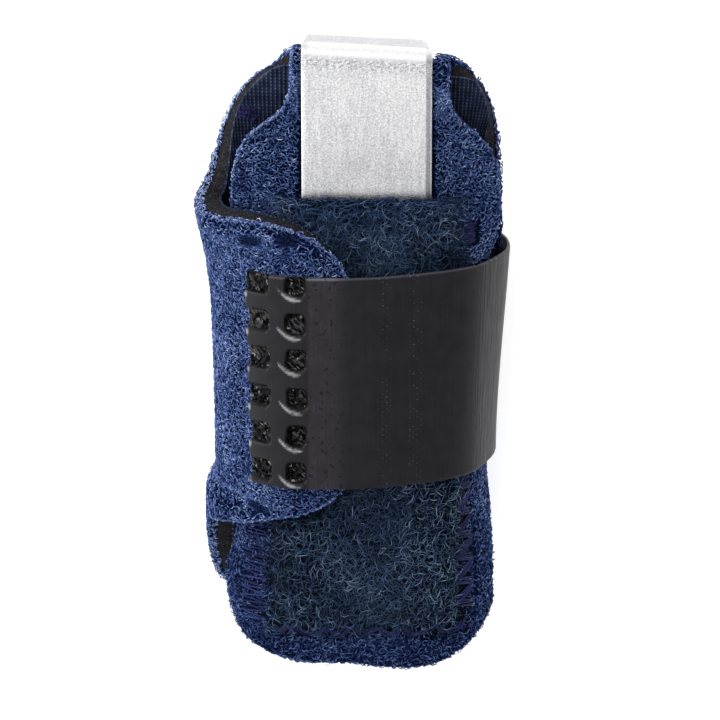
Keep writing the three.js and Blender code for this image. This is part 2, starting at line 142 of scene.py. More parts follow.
# Back panel: its cross-section, and its cut edges as distance round the girth, distance down
LEFT_SIDE = 16.9
RIGHT_SIDE = 13.5
LOWER_BEND = 8.3
SIDE_WALL = 0.5
FLAP_BEND = 11.4
FLAP_Z = BACK_Z + LOWER_BEND + SIDE_WALL + FLAP_BEND
FLAP_END = 44.2
RIGHT_END = 18.6
CURL_REACH = 12
RIGHT_CURL = 0.7
FLAP_LIFT = 0.9
LIFT_REACH = 4
LIFT_FROM = 24
LIFT_TO = 43
LIFT_RAMP = 5
BACK_TOP_EDGE = [
    (-44.2, 26.5),
    (-43, 23.3),
    (-40.4, 19.8),
    (-37.5, 17.5),
    (-33, 16.6),
    (-27, 16.6),
    (-20, 17),
    (-18.6, 16.4),
    (-17.4, 13.5),
    (-16.6, 10.5),
    (-15.5, 7.7),
    (-13.9, 5.3),
    (-11.4, 2.7),
    (-10.2, 1.9),
    (-9.3, 0.9),
    (-8.55, 0),
    (9.1, 0),
    (12.4, 1.9),
    (14.3, 5),
    (15.3, 6.8),
    (16, 10.8),
    (16.4, 17.2),
    (17.5, 21),
    (18.6, 25),
]
BACK_BOTTOM_EDGE = [
    (-44.2, 46.5),
    (-42.9, 49),
    (-41, 50.8),
    (-38, 52.4),
    (-35, 53.4),
    (-31.4, 54.4),
    (-27, 55.6),
    (-25.2, 56.1),
    (-23.5, 58.3),
    (-21, 62.3),
    (-18, 67),
    (-14, 69),
    (-8, 70),
    (0, 70.3),
    (8, 70),
    (13, 68.5),
    (16, 65),
    (18.6, 58),
]

# How far the strap draws the sides in: distance down, left wing, front panel's left, right side
DRAWN_FROM = 7.6
DRAWN_FULL = 13.5
DRAWN_IN = [
    (0, 0, 0, 0),
    (12, 0, 0, 0),
    (16.5, 0.1, 0, 0.1),
    (25, 1.3, 0.9, 0.7),
    (49, 1.8, 0.9, 2.1),
    (51.5, 1.75, 0.5, 2.0),
    (54, 1.0, 0.2, 1.75),
    (60, 1.1, -0.1, 1.2),
    (65, 1.3, -1.0, 0.7),
    (73.4, 1.6, -1.0, 0.6),
]

# The same for the front panel's right side, which leaves a gap inside the strap's top edge
FRONT_RIGHT_IN = [
    (0, 0),
    (16.5, 0.1),
    (20, 0.3),
    (23.5, 1.35),
    (27, 2.2),
    (45, 2.2),
    (49, 2.1),
    (54, 1.4),
    (60, 0.6),
    (66, 0.2),
    (73.4, 0.2),
]

# Metal stay and pocket
STAY = 0.9
STAY_WIDTH = 14.8
STAY_COLUMNS = 20
STAY_SHARP = 22
STAY_FRONT_ROWS = [6, 8, 3]
STAY_TURN_ROWS = 10
STAY_LEG_ROWS = [4, 6]
STAY_END = 64
STAY_CORNER = 1.5
STAY_BEND = 0.6
STAY_GAP = 0.25
STAY_OUT = 0.45
STAY_BACK_LEG = 8
STAY_SKEW_FRONT = 0.06
STAY_SKEW_BACK = 0.05
STAY_NARROWING = 0.45
STAY_EDGE = 0.2
STAY_PRESSED = 0.38
PRESSED_WIDTH = 0.75
POCKET = 1.0
POCKET_GAP = 0.25
POCKET_LEFT = 11
POCKET_RIGHT = 11.2
POCKET_TOP = 15.7
POCKET_BOTTOM = 70
POCKET_CORNER = 3
POCKET_CORNER_START = 0.75
POCKET_TAPER = 3
POCKET_RISE = 1.25
POCKET_RISE_FLAT = 7.5
POCKET_RISE_END = 9.5
POCKET_EDGE = 0.2
POCKET_EDGE_REACH = 2.6
POCKET_SINK = 0.03
POCKET_STEP = 0.6

# Strap route over the right shoulder, seen along the toe, on the strap's inner face
STRAP_SHOULDER = [
    (-2, 27.2),
    (2, 26.5),
    (6, 25.1),
    (9, 23.8),
    (12.3, 21.8),
    (15, 17.8),
    (16.3, 14.8),
]

# Weld pits: places along the strap from its left end, rows down from its top edge
PIT_ROWS = 6
PIT_PITCH = 4.5
PIT_SIZE = 2.6
PIT_DEPTH = 0.5
PIT_FIRST_ROW = 0.8
PIT_COLUMNS = [(-0.6, 3.6), (5.9, 8.4)]
PIT_CORNER = 0.7
PIT_WALL = 0.3
PIT_BRINK = 0.3
PIT_JITTER = 0.06
PIT_TURN = 0.07
FLOOR_RAMP = 0.5
CRINKLE = 0.14
CRINKLE_SIZE = 0.5
WELD_ZONE = 10

# Raised lips, given a painted highlight: the right column's, from a pit's middle, and the left column's, at
# the strap's end
LIP_HEIGHT = 0.14
LIP_LEFT = -2.4
LIP_RIGHT = 0.7
LIP_TOP = 0.35
LIP_BOTTOM = 1.75
LIP_BEND = 2.2
LIP_HALF = 0.13
LIP_SWELL = 1.6
LIP_TAPER = 0.9
LIP_POINT = 0.35
LIP_FADE = 0.3
LIP_STRENGTHS = (0.7, 1)
END_LIP = (0.2, 1.7)
END_LIP_HALF = (0.25, 0.35)
END_LIP_SHARE = 0.8

# Strap's edges: rounded outside, thinned inside
STRAP_ROUND = 0.1
STRAP_ROUND_REACH = 0.25
EDGE_THINNED = 0.55
THINNED_REACH = 1.4

PATTERN = "Pattern"
TONE_MAP = "OFBake"

strap_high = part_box("hook_strap")[1]
stay_low, stay_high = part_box("metal_stay")
FRAME_SHIFT = np.array([(stay_low.x + stay_high.x) / 2, strap_high.y + STRAP_TOP * MM, 0])


def in_frame(points):
    return np.asarray(points) * MM + FRAME_SHIFT


def smooth(x):
    t = np.clip(x, 0, 1)
    return t * t * (3 - 2 * t)


def rising(x, start, full):
    """0 up to start, 1 from full on, and smooth between. With full before start it falls instead."""
    return smooth((x - start) / (full - start))


def band(x, start, full, end, gone):
    """1 from full to end, fading to 0 at start and at gone."""
    return rising(x, start, full) * rising(x, gone, end)


def mix(a, b, t):
    return a + (b - a) * t


def track(rows, column):
    """A curve through one column of a table that never overshoots its rows."""
    x = np.array([row[0] for row in rows], float)
    y = np.array([row[column] for row in rows], float)
    slope = np.diff(y) / np.diff(x)
    before = np.append(slope[:1], slope)
    after = np.append(slope, slope[-1:])
    same_way = before * after > 0
    tangent = np.where(same_way, 2 * before * after / np.where(same_way, before + after, 1), 0)

    def at(place):
        t = np.clip(place, x[0], x[-1])
        i = np.clip(np.searchsorted(x, t) - 1, 0, len(x) - 2)
        step = x[i + 1] - x[i]
        f = (t - x[i]) / step
        g = 1 - f
        bend = step * f * g * (tangent[i] * g - tangent[i + 1] * f)
        return y[i] * g * g * (1 + 2 * f) + y[i + 1] * f * f * (1 + 2 * g) + bend

    return at


def stations(places, steps):
    """Even steps from one place to the next, as one list."""
    runs = [np.linspace(a, b, n, endpoint=False) for a, b, n in zip(places, places[1:], steps)]
    return np.append(np.concatenate(runs), places[-1])


front_left = track(FRONT_SIDES, 1)
front_right = track(FRONT_SIDES, 2)
back_top = track(BACK_TOP_EDGE, 1)
back_bottom = track(BACK_BOTTOM_EDGE, 1)
drawn_wing = track(DRAWN_IN, 1)
drawn_front = track(DRAWN_IN, 2)
drawn_right = track(DRAWN_IN, 3)
drawn_front_right = track(FRONT_RIGHT_IN, 1)


def on_flap(girth):
    return smooth((-girth - TRIM_FROM) / TRIM_RAMP)


def foam_edge(girth):
    """Top edge of the back panel's foam and lining."""
    return back_top(girth) + FLAP_TRIM * on_flap(girth)


def pile_edge(girth):
    """Top edge of the back panel's pile."""
    return back_top(girth) + PILE_TRIM * on_flap(girth)


# The sheet's surface on its lining side

def draw_in(x, down, left, right, lining=None):
    reach = np.abs(x if lining is None else lining)
    share = np.clip((reach - DRAWN_FROM) / (DRAWN_FULL - DRAWN_FROM), 0, 1)
    return x - np.sign(x) * np.where(x < 0, left(down), right(down)) * share


def skewed(x, y, down):
    return y - FOLD_SKEW * x * (1 - smooth(down / SKEW_REACH))


def press(down):
    return mix(FOLD_PRESS, 1, smooth(down / PRESS_REACH))


def middle_line(down, side):
    angle = np.clip(down / FOLD_TURN, -1, 1) * QUARTER
    run = np.maximum(down - FOLD_TURN, 0)
    y = FOLD_Y + FOLD_RADIUS * np.cos(angle) - run
    z = FOLD_Z + side * FOLD_RADIUS * np.sin(angle)
    if side > 0:
        return y, z + (FRONT_Z - FOLD_Z - FOLD_RADIUS) * smooth(down / PRESS_REACH)
    return y, z + (BACK_Z - FOLD_Z + FOLD_RADIUS) * smooth(run / BACK_RUN)


def front_surface(across, down):
    y, z = middle_line(down, 1)
    reach = np.abs(across)
    arch = smooth(down / ARCH_REACH)
    angle = np.maximum(reach - ARCH_FLAT, 0) / ARCH_RADIUS
    bent = np.minimum(reach, ARCH_FLAT) + ARCH_RADIUS * np.sin(angle)
    drop = ARCH_RADIUS * (1 - np.cos(angle)) * arch
    x = draw_in(np.sign(across) * mix(reach, bent, arch), down, drawn_front, drawn_front_right)
    return np.stack([x, skewed(x, y, down), z - drop], -1)


def flap_lift(girth, down):
    along = smooth(1 - (down - back_top(girth)) / LIFT_REACH)
    across = smooth((-girth - LIFT_FROM) / LIFT_RAMP) * smooth((LIFT_TO + girth) / LIFT_RAMP)
    return FLAP_LIFT * along * across


def wing_section(girth, lift):
    reach = np.abs(girth)
    flat = np.where(girth < 0, LEFT_SIDE, RIGHT_SIDE) - LOWER_BEND
    lower = np.clip((reach - flat) / LOWER_BEND, 0, QUARTER)
    wall = np.maximum(reach - flat - LOWER_BEND * QUARTER, 0)
    x = np.minimum(reach, flat) + LOWER_BEND * np.sin(lower)
    height = LOWER_BEND * (1 - np.cos(lower)) + wall
    upper = np.minimum((wall - SIDE_WALL) / FLAP_BEND, QUARTER)
    flap = np.maximum(wall - SIDE_WALL - FLAP_BEND * QUARTER, 0)
    over = (girth < 0) & (wall > SIDE_WALL)
    x = np.where(over, x + (FLAP_BEND + lift) * np.cos(upper) - FLAP_BEND - flap, x)
    height = np.where(over, LOWER_BEND + SIDE_WALL + (FLAP_BEND + lift) * np.sin(upper), height)
    return np.sign(girth) * x, height


def back_surface(girth, down):
    y, z = middle_line(down, -1)
    curl = smooth(down / CURL_REACH)
    section_x, height = wing_section(girth, flap_lift(girth, down))
    x = draw_in(mix(girth, section_x, curl), down, drawn_wing, drawn_right)
    low = np.where(girth < 0, 1, mix(RIGHT_CURL, 1, smooth(down / BACK_RUN)))
    stretch = (FLAP_Z - z) / (FLAP_Z - BACK_Z) * curl * low
    return np.stack([x, skewed(x, y, down), z + height * stretch], -1)


def wing_puff(girth, down):
    """Extra height of the pile on the left wing, where the strap doesn't hold it."""
    free = np.maximum(band(down, *WING_PUFF_ABOVE), rising(down, *WING_PUFF_BELOW))
    return WING_PUFF * band(girth, *WING_PUFF_GIRTH) * free


def pile_top(across, down):
    """Height of the pile's ground over the lining side."""
    reach = np.abs(across)
    puff_to = np.where(across < 0, PUFF_TO_LEFT, PUFF_TO_RIGHT)
    beside_stay = smooth((reach - PUFF_FROM) / PUFF_RAMP) * smooth(1 + puff_to - reach)
    plain = (PILE_START + GROUND) * press(down) + FOLD_PUFF * beside_stay * smooth(1 - down / PUFF_REACH)
    return plain + wing_puff(across, down)


def pocket_edge(across, down):
    """How far a place on the pocket is from its sewn sides and bottom."""
    side = np.where(across < 0, POCKET_LEFT + across, POCKET_RIGHT - across)
    return np.minimum(side, POCKET_BOTTOM - down)


def pocket_rise(across, down):
    """Height of the pocket's inner face over the lining side."""
    ramp = POCKET_RISE_END - POCKET_RISE_FLAT
    over_stay = smooth((POCKET_RISE_END - np.abs(across)) / ramp)
    above_end = smooth((STAY_END + POCKET_TAPER - down) / POCKET_TAPER)
    sewn = pile_top(across, down) + POCKET_SINK
    plain = mix(sewn, SHEET + POCKET_GAP, smooth(pocket_edge(across, down) / POCKET_EDGE_REACH))
    return plain + POCKET_RISE * over_stay * above_end


def pocket_thickness(across, down):
    return mix(POCKET_EDGE, POCKET, smooth(pocket_edge(across, down) / POCKET_EDGE_REACH))


def front_top(across, down):
    """Height of the sewn surface above the lining side of the front panel."""
    edge = np.minimum(pocket_edge(across, down), down - POCKET_TOP)
    on_pocket = pocket_rise(across, down) + pocket_thickness(across, down)
    return mix(pile_top(across, down), on_pocket, smooth(edge / POCKET_STEP + 0.5))


def unit(vectors):
    return vectors / np.maximum(np.linalg.norm(vectors, axis=-1, keepdims=True), 1e-9)


def surface_axes(surface, across, down, turn):
    """Place, direction across, direction down and outward normal on a surface."""
    step = 1e-3
    along_x = surface(across + step, down) - surface(across - step, down)
    along_y = surface(across, down + step) - surface(across, down - step)
    return surface(across, down), unit(along_x), unit(along_y), turn * unit(np.cross(along_x, along_y))


def front_axes(across, down):
    return surface_axes(front_surface, across, down, -1)


def back_axes(girth, down):
    return surface_axes(back_surface, girth, down, 1)


# Meshes

def add_piece(name, points, faces, finish, uv, uv_name=PATTERN, sharp=None):
    """A mesh object from arrays of places, of faces with like corner counts, and of one UV for each place."""
    mesh = bpy.data.meshes.new(name)
    corners = np.concatenate([part.ravel() for part in faces]).astype(np.int32)
    sizes = np.concatenate([np.full(len(part), part.shape[1]) for part in faces])
    mesh.vertices.add(len(points))
    mesh.vertices.foreach_set("co", in_frame(points).astype(np.float32).ravel())
    mesh.loops.add(len(corners))
    mesh.loops.foreach_set("vertex_index", corners)
    mesh.polygons.add(len(sizes))
    mesh.polygons.foreach_set("loop_start", (np.cumsum(sizes) - sizes).astype(np.int32))
    mesh.polygons.foreach_set("use_smooth", np.ones(len(sizes), bool))
    layer = mesh.uv_layers.new(name=uv_name)
    layer.uv.foreach_set("vector", np.asarray(uv)[corners].astype(np.float32).ravel())
    mesh.update(calc_edges=True)
    mesh.validate()
    if sharp is not None:
        mesh.set_sharp_from_angle(angle=math.radians(sharp))
    piece = bpy.data.objects.new(name, mesh)
    bpy.context.scene.collection.objects.link(piece)
    mesh.materials.append(finish)
    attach(piece, "root")
    return piece


def open_edges(cells):
    """Edges of a grid of cells that have a cell on one side only, in the cells' own direction."""
    edges = np.stack([cells, np.roll(cells, -1, axis=1)], -1).reshape(-1, 2)
    key = edges[:, 0] * (cells.max() + 1) + edges[:, 1]
    twin = edges[:, 1] * (cells.max() + 1) + edges[:, 0]
    return edges[~np.isin(key, twin)]


def closed_layer(outer, inner, normal, cells, bulge):
    """Places and faces of a layer between two surfaces, with a rounded wall round its open edges."""
    count = len(outer)
    edges = open_edges(cells)
    rim, place = np.unique(edges, return_inverse=True)
    start, end = place.reshape(-1, 2).T
    away = np.zeros((len(rim), 3))
    side = unit(np.cross(outer[edges[:, 1]] - outer[edges[:, 0]], normal[edges[:, 0]]))
    np.add.at(away, start, side)
    np.add.at(away, end, side)
    middle = (outer[rim] + inner[rim]) / 2 + bulge * unit(away)
    from_, to_ = edges.T
    upper = np.stack([to_, from_, 2 * count + start, 2 * count + end], 1)
    lower = np.stack([2 * count + end, 2 * count + start, count + from_, count + to_], 1)
    faces = np.concatenate([cells, cells[:, ::-1] + count, upper, lower])
    return np.concatenate([outer, inner, middle]), faces, np.concatenate([np.arange(count)] * 2 + [rim])


def grid_cells(index, flip):
    cells = np.stack([index[:-1, :-1], index[1:, :-1], index[1:, 1:], index[:-1, 1:]], -1).reshape(-1, 4)
    return cells[:, ::-1] if flip else cells


# Node trees of the materials

def colour(code):
    """A linear colour from its sRGB hex code."""
    parts = [int(code[i:i + 2], 16) / 255 for i in (1, 3, 5)]
    return (*[p / 12.92 if p <= 0.04045 else ((p + 0.055) / 1.055) ** 2.4 for p in parts], 1)


class Wire:
    """A socket of a material's nodes: sums and products of wires add Math nodes."""

    def __init__(self, tree, socket):
        self.tree = tree
        self.socket = socket

    def node(self, kind, settings=None, output=0, **inputs):
        """Adds a node, sets it up, gives its inputs values or links, and returns one of its outputs."""
        made = self.tree.nodes.new(kind)
        for key, value in (settings or {}).items():
            if key == "stops":
                ramp = made.color_ramp.elements
                while len(ramp) < len(value):
                    ramp.new(1)
                for stop, (position, shade) in zip(ramp, value):
                    stop.position = position
                    stop.color = shade
            else:
                setattr(made, key, value)
        for key, value in inputs.items():
            name = key.replace("_", " ").strip()
            socket = made.inputs[int(name[5:])] if name.startswith("input") else made.inputs[name]
            if isinstance(value, Wire):
                self.tree.links.new(value.socket, socket)
            else:
                socket.default_value = value
        return Wire(self.tree, made.outputs[output])

    def maths(self, operation, *terms):
        terms = {f"input{i}": term for i, term in enumerate(terms)}
        return self.node("ShaderNodeMath", {"operation": operation}, **terms)

    def __add__(self, other):
        return self.maths("ADD", self, other)

    __radd__ = __add__

    def __sub__(self, other):
        return self.maths("SUBTRACT", self, other)

    def __rsub__(self, other):
        return self.maths("SUBTRACT", other, self)

    def __mul__(self, other):
        return self.maths("MULTIPLY", self, other)

    __rmul__ = __mul__

    def __pow__(self, other):
        return self.maths("POWER", self, other)

    def wave(self):
        return self.maths("SINE", self)

    def unsigned(self):
        return self.maths("ABSOLUTE", self)

    def between(self, low, high):
        """0 up to low, 1 from high on, and smooth between."""
        settings = {"interpolation_type": "SMOOTHSTEP"}
        return self.node("ShaderNodeMapRange", settings, Value=self, From_Min=low, From_Max=high)

    def band(self, start, full, end, gone):
        """1 from full to end, fading to 0 at start and at gone."""
        return self.between(start, full) * (1 - self.between(end, gone))

    def ramp(self, *stops):
        return self.node("ShaderNodeValToRGB", {"stops": stops}, Fac=self)

    def blend(self, first, second):
        """Mixes two colours by this value."""
        settings = {"data_type": "RGBA"}
        return self.node("ShaderNodeMix", settings, 2, input0=self, input6=first, input7=second)

    def parts(self):
        split = self.node("ShaderNodeSeparateXYZ", Vector=self)
        outputs = split.socket.node.outputs
        return [Wire(self.tree, outputs[i]) for i in range(3)]

    def noise(self, scale, detail=2.0, roughness=0.5):
        settings = {"noise_dimensions": "3D"}
        values = {"Scale": scale, "Detail": detail, "Roughness": roughness}
        return self.node("ShaderNodeTexNoise", settings, Vector=self, **values)

    def bump(self, distance, strength=1.0):
        return self.node("ShaderNodeBump", Height=self, Distance=distance, Strength=strength)

    def stretched(self, x, y, z):
        return self.node("ShaderNodeMapping", Vector=self, Scale=(x, y, z))


class Finish:
    """A material with one Principled shader, whose plain values are set by name."""

    def __init__(self, name, **values):
        self.material = bpy.data.materials.new(name)
        self.material.use_nodes = True
        self.tree = self.material.node_tree
        self.shader = self.tree.nodes["Principled BSDF"]
        for key, value in values.items():
            self.shader.inputs[key.replace("_", " ")].default_value = value
        self.start = Wire(self.tree, None)

    def place(self):
        return self.start.node("ShaderNodeTexCoord", output=3)

    def map(self, name):
        return self.start.node("ShaderNodeUVMap", {"uv_map": name}).parts()

    def attribute(self, name):
        return self.start.node("ShaderNodeAttribute", {"attribute_name": name}, 2)

    def second(self, share, **values):
        """Mixes in another shader with values or wires of its own, by a share from 0 to 1."""
        other = self.start.node("ShaderNodeBsdfPrincipled", **values)
        first = Wire(self.tree, self.shader.outputs[0])
        both = self.start.node("ShaderNodeMixShader", input0=share, input1=first, input2=other)
        self.tree.links.new(both.socket, self.tree.nodes["Material Output"].inputs["Surface"])

    def drive(self, **wires):
        for key, wire in wires.items():
            self.tree.links.new(wire.socket, self.shader.inputs[key.replace("_", " ")])
        return self.material


# Finishes

# Lining: pitch of its ribs and stitches, and where it dims and shows its cut edge, in mm across
RIB_PITCH = 0.5
STITCH_PITCH = 0.4
LINING_DIM = (6, 10)
LINING_CUT = (-17.5, -16)

# Stay: places in mm along it from its hidden end, and across it, with those of its painted shade and painted
# highlight
STAY_DARKER_TOWARD_POCKET = (46, 60)
STAY_FLAT = (62, 63)
STAY_CREASE = (62.4, 63.3, 63.9, 64.2)
STAY_ROUND = (63.9, 64.2, 64.9, 65.1)
STAY_TIP_SHADE = (64.9, 65.1)
STAY_BEND_SIDE_SHADE = (6.4, 7.1)
STAY_RIGHT_EDGE_SHADE = (6.7, 6.8, 7.15, 7.25)
STAY_LEFT_EDGE_HIGHLIGHT = (-7.2, -6.8)

# Strap: places in mm along it from its left end, and across it from its top edge, among them those of its
# painted highlights
HIGHLIGHT_BAND = (8.4, 8.8, 11, 13.5)
DOT_COLUMNS = [(16.2, 16.6, 17.6, 18), (19.6, 20, 21.4, 21.8)]
DOT_ALONG = 0.9
DOT_ACROSS = 0.7
SPECK_BAND = (27, 28.5, 32, 33)
RIB_BAND = (28, 31, 36, 38)
STRAP_EDGE_HIGHLIGHT = (0.08, 0.3)


def fibre_finish(name, cool, warm, roughness):
    """Fibres take their tone from one side of their UV map and their hue from the other."""
    finish = Finish(name, Roughness=roughness, Specular_IOR_Level=0.1)
    tone, hue, _ = finish.map(TONE_MAP)
    return finish.drive(Base_Color=hue.blend(tone.ramp(*cool), tone.ramp(*warm)))


def ground_finish(name, dark, light, pitch):
    """Backing cloth between the fibres."""
    finish = Finish(name, Roughness=0.9, Specular_IOR_Level=0.02)
    place = finish.place()
    fine = place.noise(1 / pitch, 3, 0.6)
    coarse = place.noise(0.12 / pitch, 1)
    tone = fine * 0.75 + coarse * 0.25
    shade = tone.ramp((0.36, colour(dark)), (0.68, colour(light)))
    return finish.drive(Base_Color=shade, Normal=fine.bump(0.0003, 0.8))


def knit_finish():
    """Fine ribs of knitted stitches that run down the lining."""
    finish = Finish("lining_knit_finish", Roughness=0.85, Specular_IOR_Level=0.08)
    across, down, _ = finish.map(PATTERN)
    rib = (across * (2 * math.pi / RIB_PITCH)).wave() * 0.5 + 0.5
    row = (down * (2 * math.pi / STITCH_PITCH)).wave() * 0.5 + 0.5
    yarn = rib ** 1.5 * (row * 0.6 + 0.4)
    tone_shift = finish.place().noise(900, 3, 0.6)
    tone = yarn * 0.45 + tone_shift * 0.55 - across.between(*LINING_DIM) * 0.06
    knitted = tone.ramp((0.15, colour("#0a0d17")), (0.5, colour("#222c45")), (0.85, colour("#58647e")))
    cut = finish.attribute("cut") * tone_shift.between(0.35, 0.65) * across.between(*LINING_CUT) * 0.45
    shade = cut.blend(knitted, colour("#565d76"))
    return finish.drive(Base_Color=shade, Normal=yarn.bump(0.0002, 0.9))


def foam_finish():
    """Black cellular foam with a faint brown cast."""
    finish = Finish("black_foam_finish", Roughness=0.9, Specular_IOR_Level=0.06)
    place = finish.place()
    cells = place.node("ShaderNodeTexVoronoi", {"feature": "F1"}, Vector=place, Scale=4200.0)
    cloud = place.noise(1300, 3)
    shade = (cells * 0.5 + cloud * 0.6).ramp(
        (0.2, colour("#0a0a0b")), (0.55, colour("#1b1b1e")), (0.9, colour("#35353a")))
    return finish.drive(Base_Color=shade, Normal=(cells + cloud * 0.6).bump(0.00018, 0.7))


def metal_finish():
    """Satin aluminium: grained, with fine scratches along it and a rough line where it bends; darker towards
    the pocket, with painted shade on its right edge, on the sides of the bend and past the bend's tip, and a
    painted highlight on its left edge.
    """
    finish = Finish("stay_metal_finish", Metallic=1.0)
    along, across, _ = finish.map(PATTERN)
    place = finish.place()
    scratch = place.stretched(1, 0.12, 1).noise(3600, 3, 0.65)
    speckle = place.noise(5200, 2, 0.7)
    cloud = place.noise(160, 2)
    crease = along.band(*STAY_CREASE)
    bend = along.band(*STAY_ROUND)
    # Painted shade on the sides of the bend
    bend_side_shade = across.unsigned().between(*STAY_BEND_SIDE_SHADE) * bend
    flat = 1 - along.between(*STAY_FLAT)
    # Painted shade along the right edge and a painted highlight along the left edge, on the flat part
    right_edge_shade = across.band(*STAY_RIGHT_EDGE_SHADE) * flat
    left_edge_highlight = (1 - across.between(*STAY_LEFT_EDGE_HIGHLIGHT)) * flat
    # Darker towards the pocket
    toward_pocket = 1 - along.between(*STAY_DARKER_TOWARD_POCKET)
    # Painted shade past the tip of the bend
    tip_shade = along.between(*STAY_TIP_SHADE)
    worn_line = crease * place.stretched(0.7, 1, 1).noise(3400, 3, 0.7).between(0.38, 0.62)
    grain = scratch * 0.2 + speckle * 0.5 + cloud * 0.1 + 0.1
    grain = grain + (0.5 - grain) * bend * 0.6
    tone = grain - worn_line * 0.13 - toward_pocket * 0.06 - bend * 0.03 - bend_side_shade * 0.07 - tip_shade * 0.15
    tone = tone - right_edge_shade * 0.11 + left_edge_highlight * 0.06 + 0.01
    shade = tone.ramp(
        (0.3, colour("#96969a")),
        (0.42, colour("#bdbdc0")),
        (0.62, colour("#f6f6f6")),
        (0.78, colour("#ffffff")))
    roughness = scratch * 0.08 + speckle * 0.14 + 0.26
    relief = (scratch * 0.3 + speckle + worn_line).bump(0.00004, 0.5)
    return finish.drive(Base_Color=shade, Roughness=roughness, Normal=relief)


def strap_finish():
    """Moulded black tape: satin, with lines across its width, dots, ribs, specks and weld lips, and painted
    highlights on a band beside the pits, along its top edge and on the lips.
    """
    finish = Finish("strap_black_finish", Specular_IOR_Level=0.16)
    along, across, _ = finish.map(PATTERN)
    place = finish.place()
    lip = finish.attribute("lip")
    lines = along.node("ShaderNodeCombineXYZ", X=along * 5, Y=across * 0.06).noise(1.6, 3, 0.6)
    streaks = along.node("ShaderNodeCombineXYZ", X=along * 1.1, Y=across * 0.12).noise(1.6, 2, 0.6)
    cloud = place.noise(500, 2)
    grain = place.noise(2600, 2, 0.6)
    beads = (across * (2 * math.pi / DOT_ACROSS)).wave() * (along * (2 * math.pi / DOT_ALONG)).wave()
    first, second = (along.band(*column) for column in DOT_COLUMNS)
    dots = beads.between(0.6, 0.95) * (first + second) * grain.between(0.45, 0.6)
    shoulder = along.band(*RIB_BAND)
    ribs = shoulder * streaks.between(0.42, 0.6)
    # Painted highlight on a band beside the weld pits, where specks also lie
    highlight_band = along.band(*HIGHLIGHT_BAND)
    # Painted highlight along the strap's top edge
    rim = 1 - across.between(*STRAP_EDGE_HIGHLIGHT)
    specks = (highlight_band + along.band(*SPECK_BAND)) * place.noise(1700, 1).between(0.63, 0.7)
    tone = lines * 0.3 + cloud * 0.25 + highlight_band * 0.25 + dots * 0.5 + rim * 0.4
    tone = tone + ribs * 0.35 - shoulder * 0.15 - specks * 0.5
    plain = tone.ramp((0.2, colour("#100f14")), (0.55, colour("#232127")), (1.0, colour("#57555b")))
    # Painted highlight on the raised lips
    shade = (lip * (grain * 0.5 + cloud).between(0.45, 0.85)).blend(plain, colour("#98989a"))
    roughness = 0.42 + cloud * 0.1 - lip * 0.15
    relief = (lines * 0.3 + grain * 0.12 + dots * 0.5 + ribs * 1.1).bump(0.00005, 0.7)
    add_pit_floors(finish)
    return finish.drive(Base_Color=shade, Roughness=roughness, Normal=relief)


def add_pit_floors(finish):
    """Black floors of the weld pits, with thin slanting wrinkles, painted highlights along their ridges and a
    few painted glints.
    """
    along, across, _ = finish.map(PATTERN)
    place = finish.place()
    pit = finish.attribute("pit")
    slant = along.node("ShaderNodeCombineXYZ", X=(along - across) * 1.25, Y=(along + across) * 0.5)
    crumple = slant.noise(1, 1, 0.6)
    ridge = (1 - (crumple * 2 - 1).unsigned().between(0.01, 0.12)) * pit.between(0.8, 1)
    # Painted highlights along the wrinkles' ridges, and a few painted glints
    wrinkle_highlight = ridge * place.noise(600, 1).between(0.42, 0.56)
    painted_glint = ridge * place.noise(1300, 1).between(0.58, 0.66)
    dull = wrinkle_highlight.blend(colour("#040404"), colour("#39393b"))
    shade = painted_glint.blend(dull, colour("#78787c"))
    relief = crumple.bump(0.0004, 0.6)
    finish.second(pit, Base_Color=shade, Roughness=0.35, Specular_IOR_Level=0.06, Normal=relief)


def thread_finish():
    """Blue thread of the seams and purple thread of the bar tacks."""
    finish = Finish("seam_thread_finish", Roughness=0.7, Specular_IOR_Level=0.15)
    tone, hue, _ = finish.map(TONE_MAP)
    blue = tone.ramp((0.0, colour("#0a0f2e")), (1.0, colour("#31417a")))
    purple = tone.ramp((0.0, colour("#110f30")), (1.0, colour("#393170")))
    return finish.drive(Base_Color=hue.blend(blue, purple))


def floor_finish():
    glow = {"Emission_Color": (1, 1, 1, 1), "Emission_Strength": 0.45}
    finish = Finish("floor_finish", Roughness=0.8, Specular_IOR_Level=0.1, **glow)
    cloud = finish.place().noise(6, 2)
    return finish.drive(Base_Color=cloud.ramp((0.0, colour("#f3f3f3")), (1.0, colour("#f7f7f7"))))


blue_fibre = fibre_finish(
    "blue_pile_finish",
    [(0.0, colour("#040918")), (0.35, colour("#1c325e")), (0.7, colour("#5a74a5")), (1.0, colour("#aab9d6"))],
    [(0.0, colour("#05091a")), (0.35, colour("#232f62")), (0.7, colour("#6270a6")), (1.0, colour("#b2b8d8"))],
    0.75)
pocket_fibre = fibre_finish(
    "pocket_pile_finish",
    [(0.0, colour("#04070d")), (0.35, colour("#16222f")), (0.7, colour("#40566b")), (1.0, colour("#8ba1b0"))],
    [(0.0, colour("#040818")), (0.35, colour("#172748")), (0.7, colour("#3f5781")), (1.0, colour("#8a9ec0"))],
    0.7)
blue_ground = ground_finish("blue_ground_finish", "#02040f", "#0e1a3c", 0.0003)
pocket_ground = ground_finish("pocket_ground_finish", "#020308", "#0a111c", 0.0003)
knit = knit_finish()
foam_black = foam_finish()
satin_metal = metal_finish()
black_tape = strap_finish()
thread_blue = thread_finish()


# The sheet: one pattern cut flat, the front panel below its fold and the back panel above

FRONT_COLUMNS = 28
FRONT_ROWS = [5, 14, 34, 7]
BACK_ROWS = [5, 24, 22]
LEFT_COLUMNS = [8, 40]
RIGHT_COLUMNS = [14]

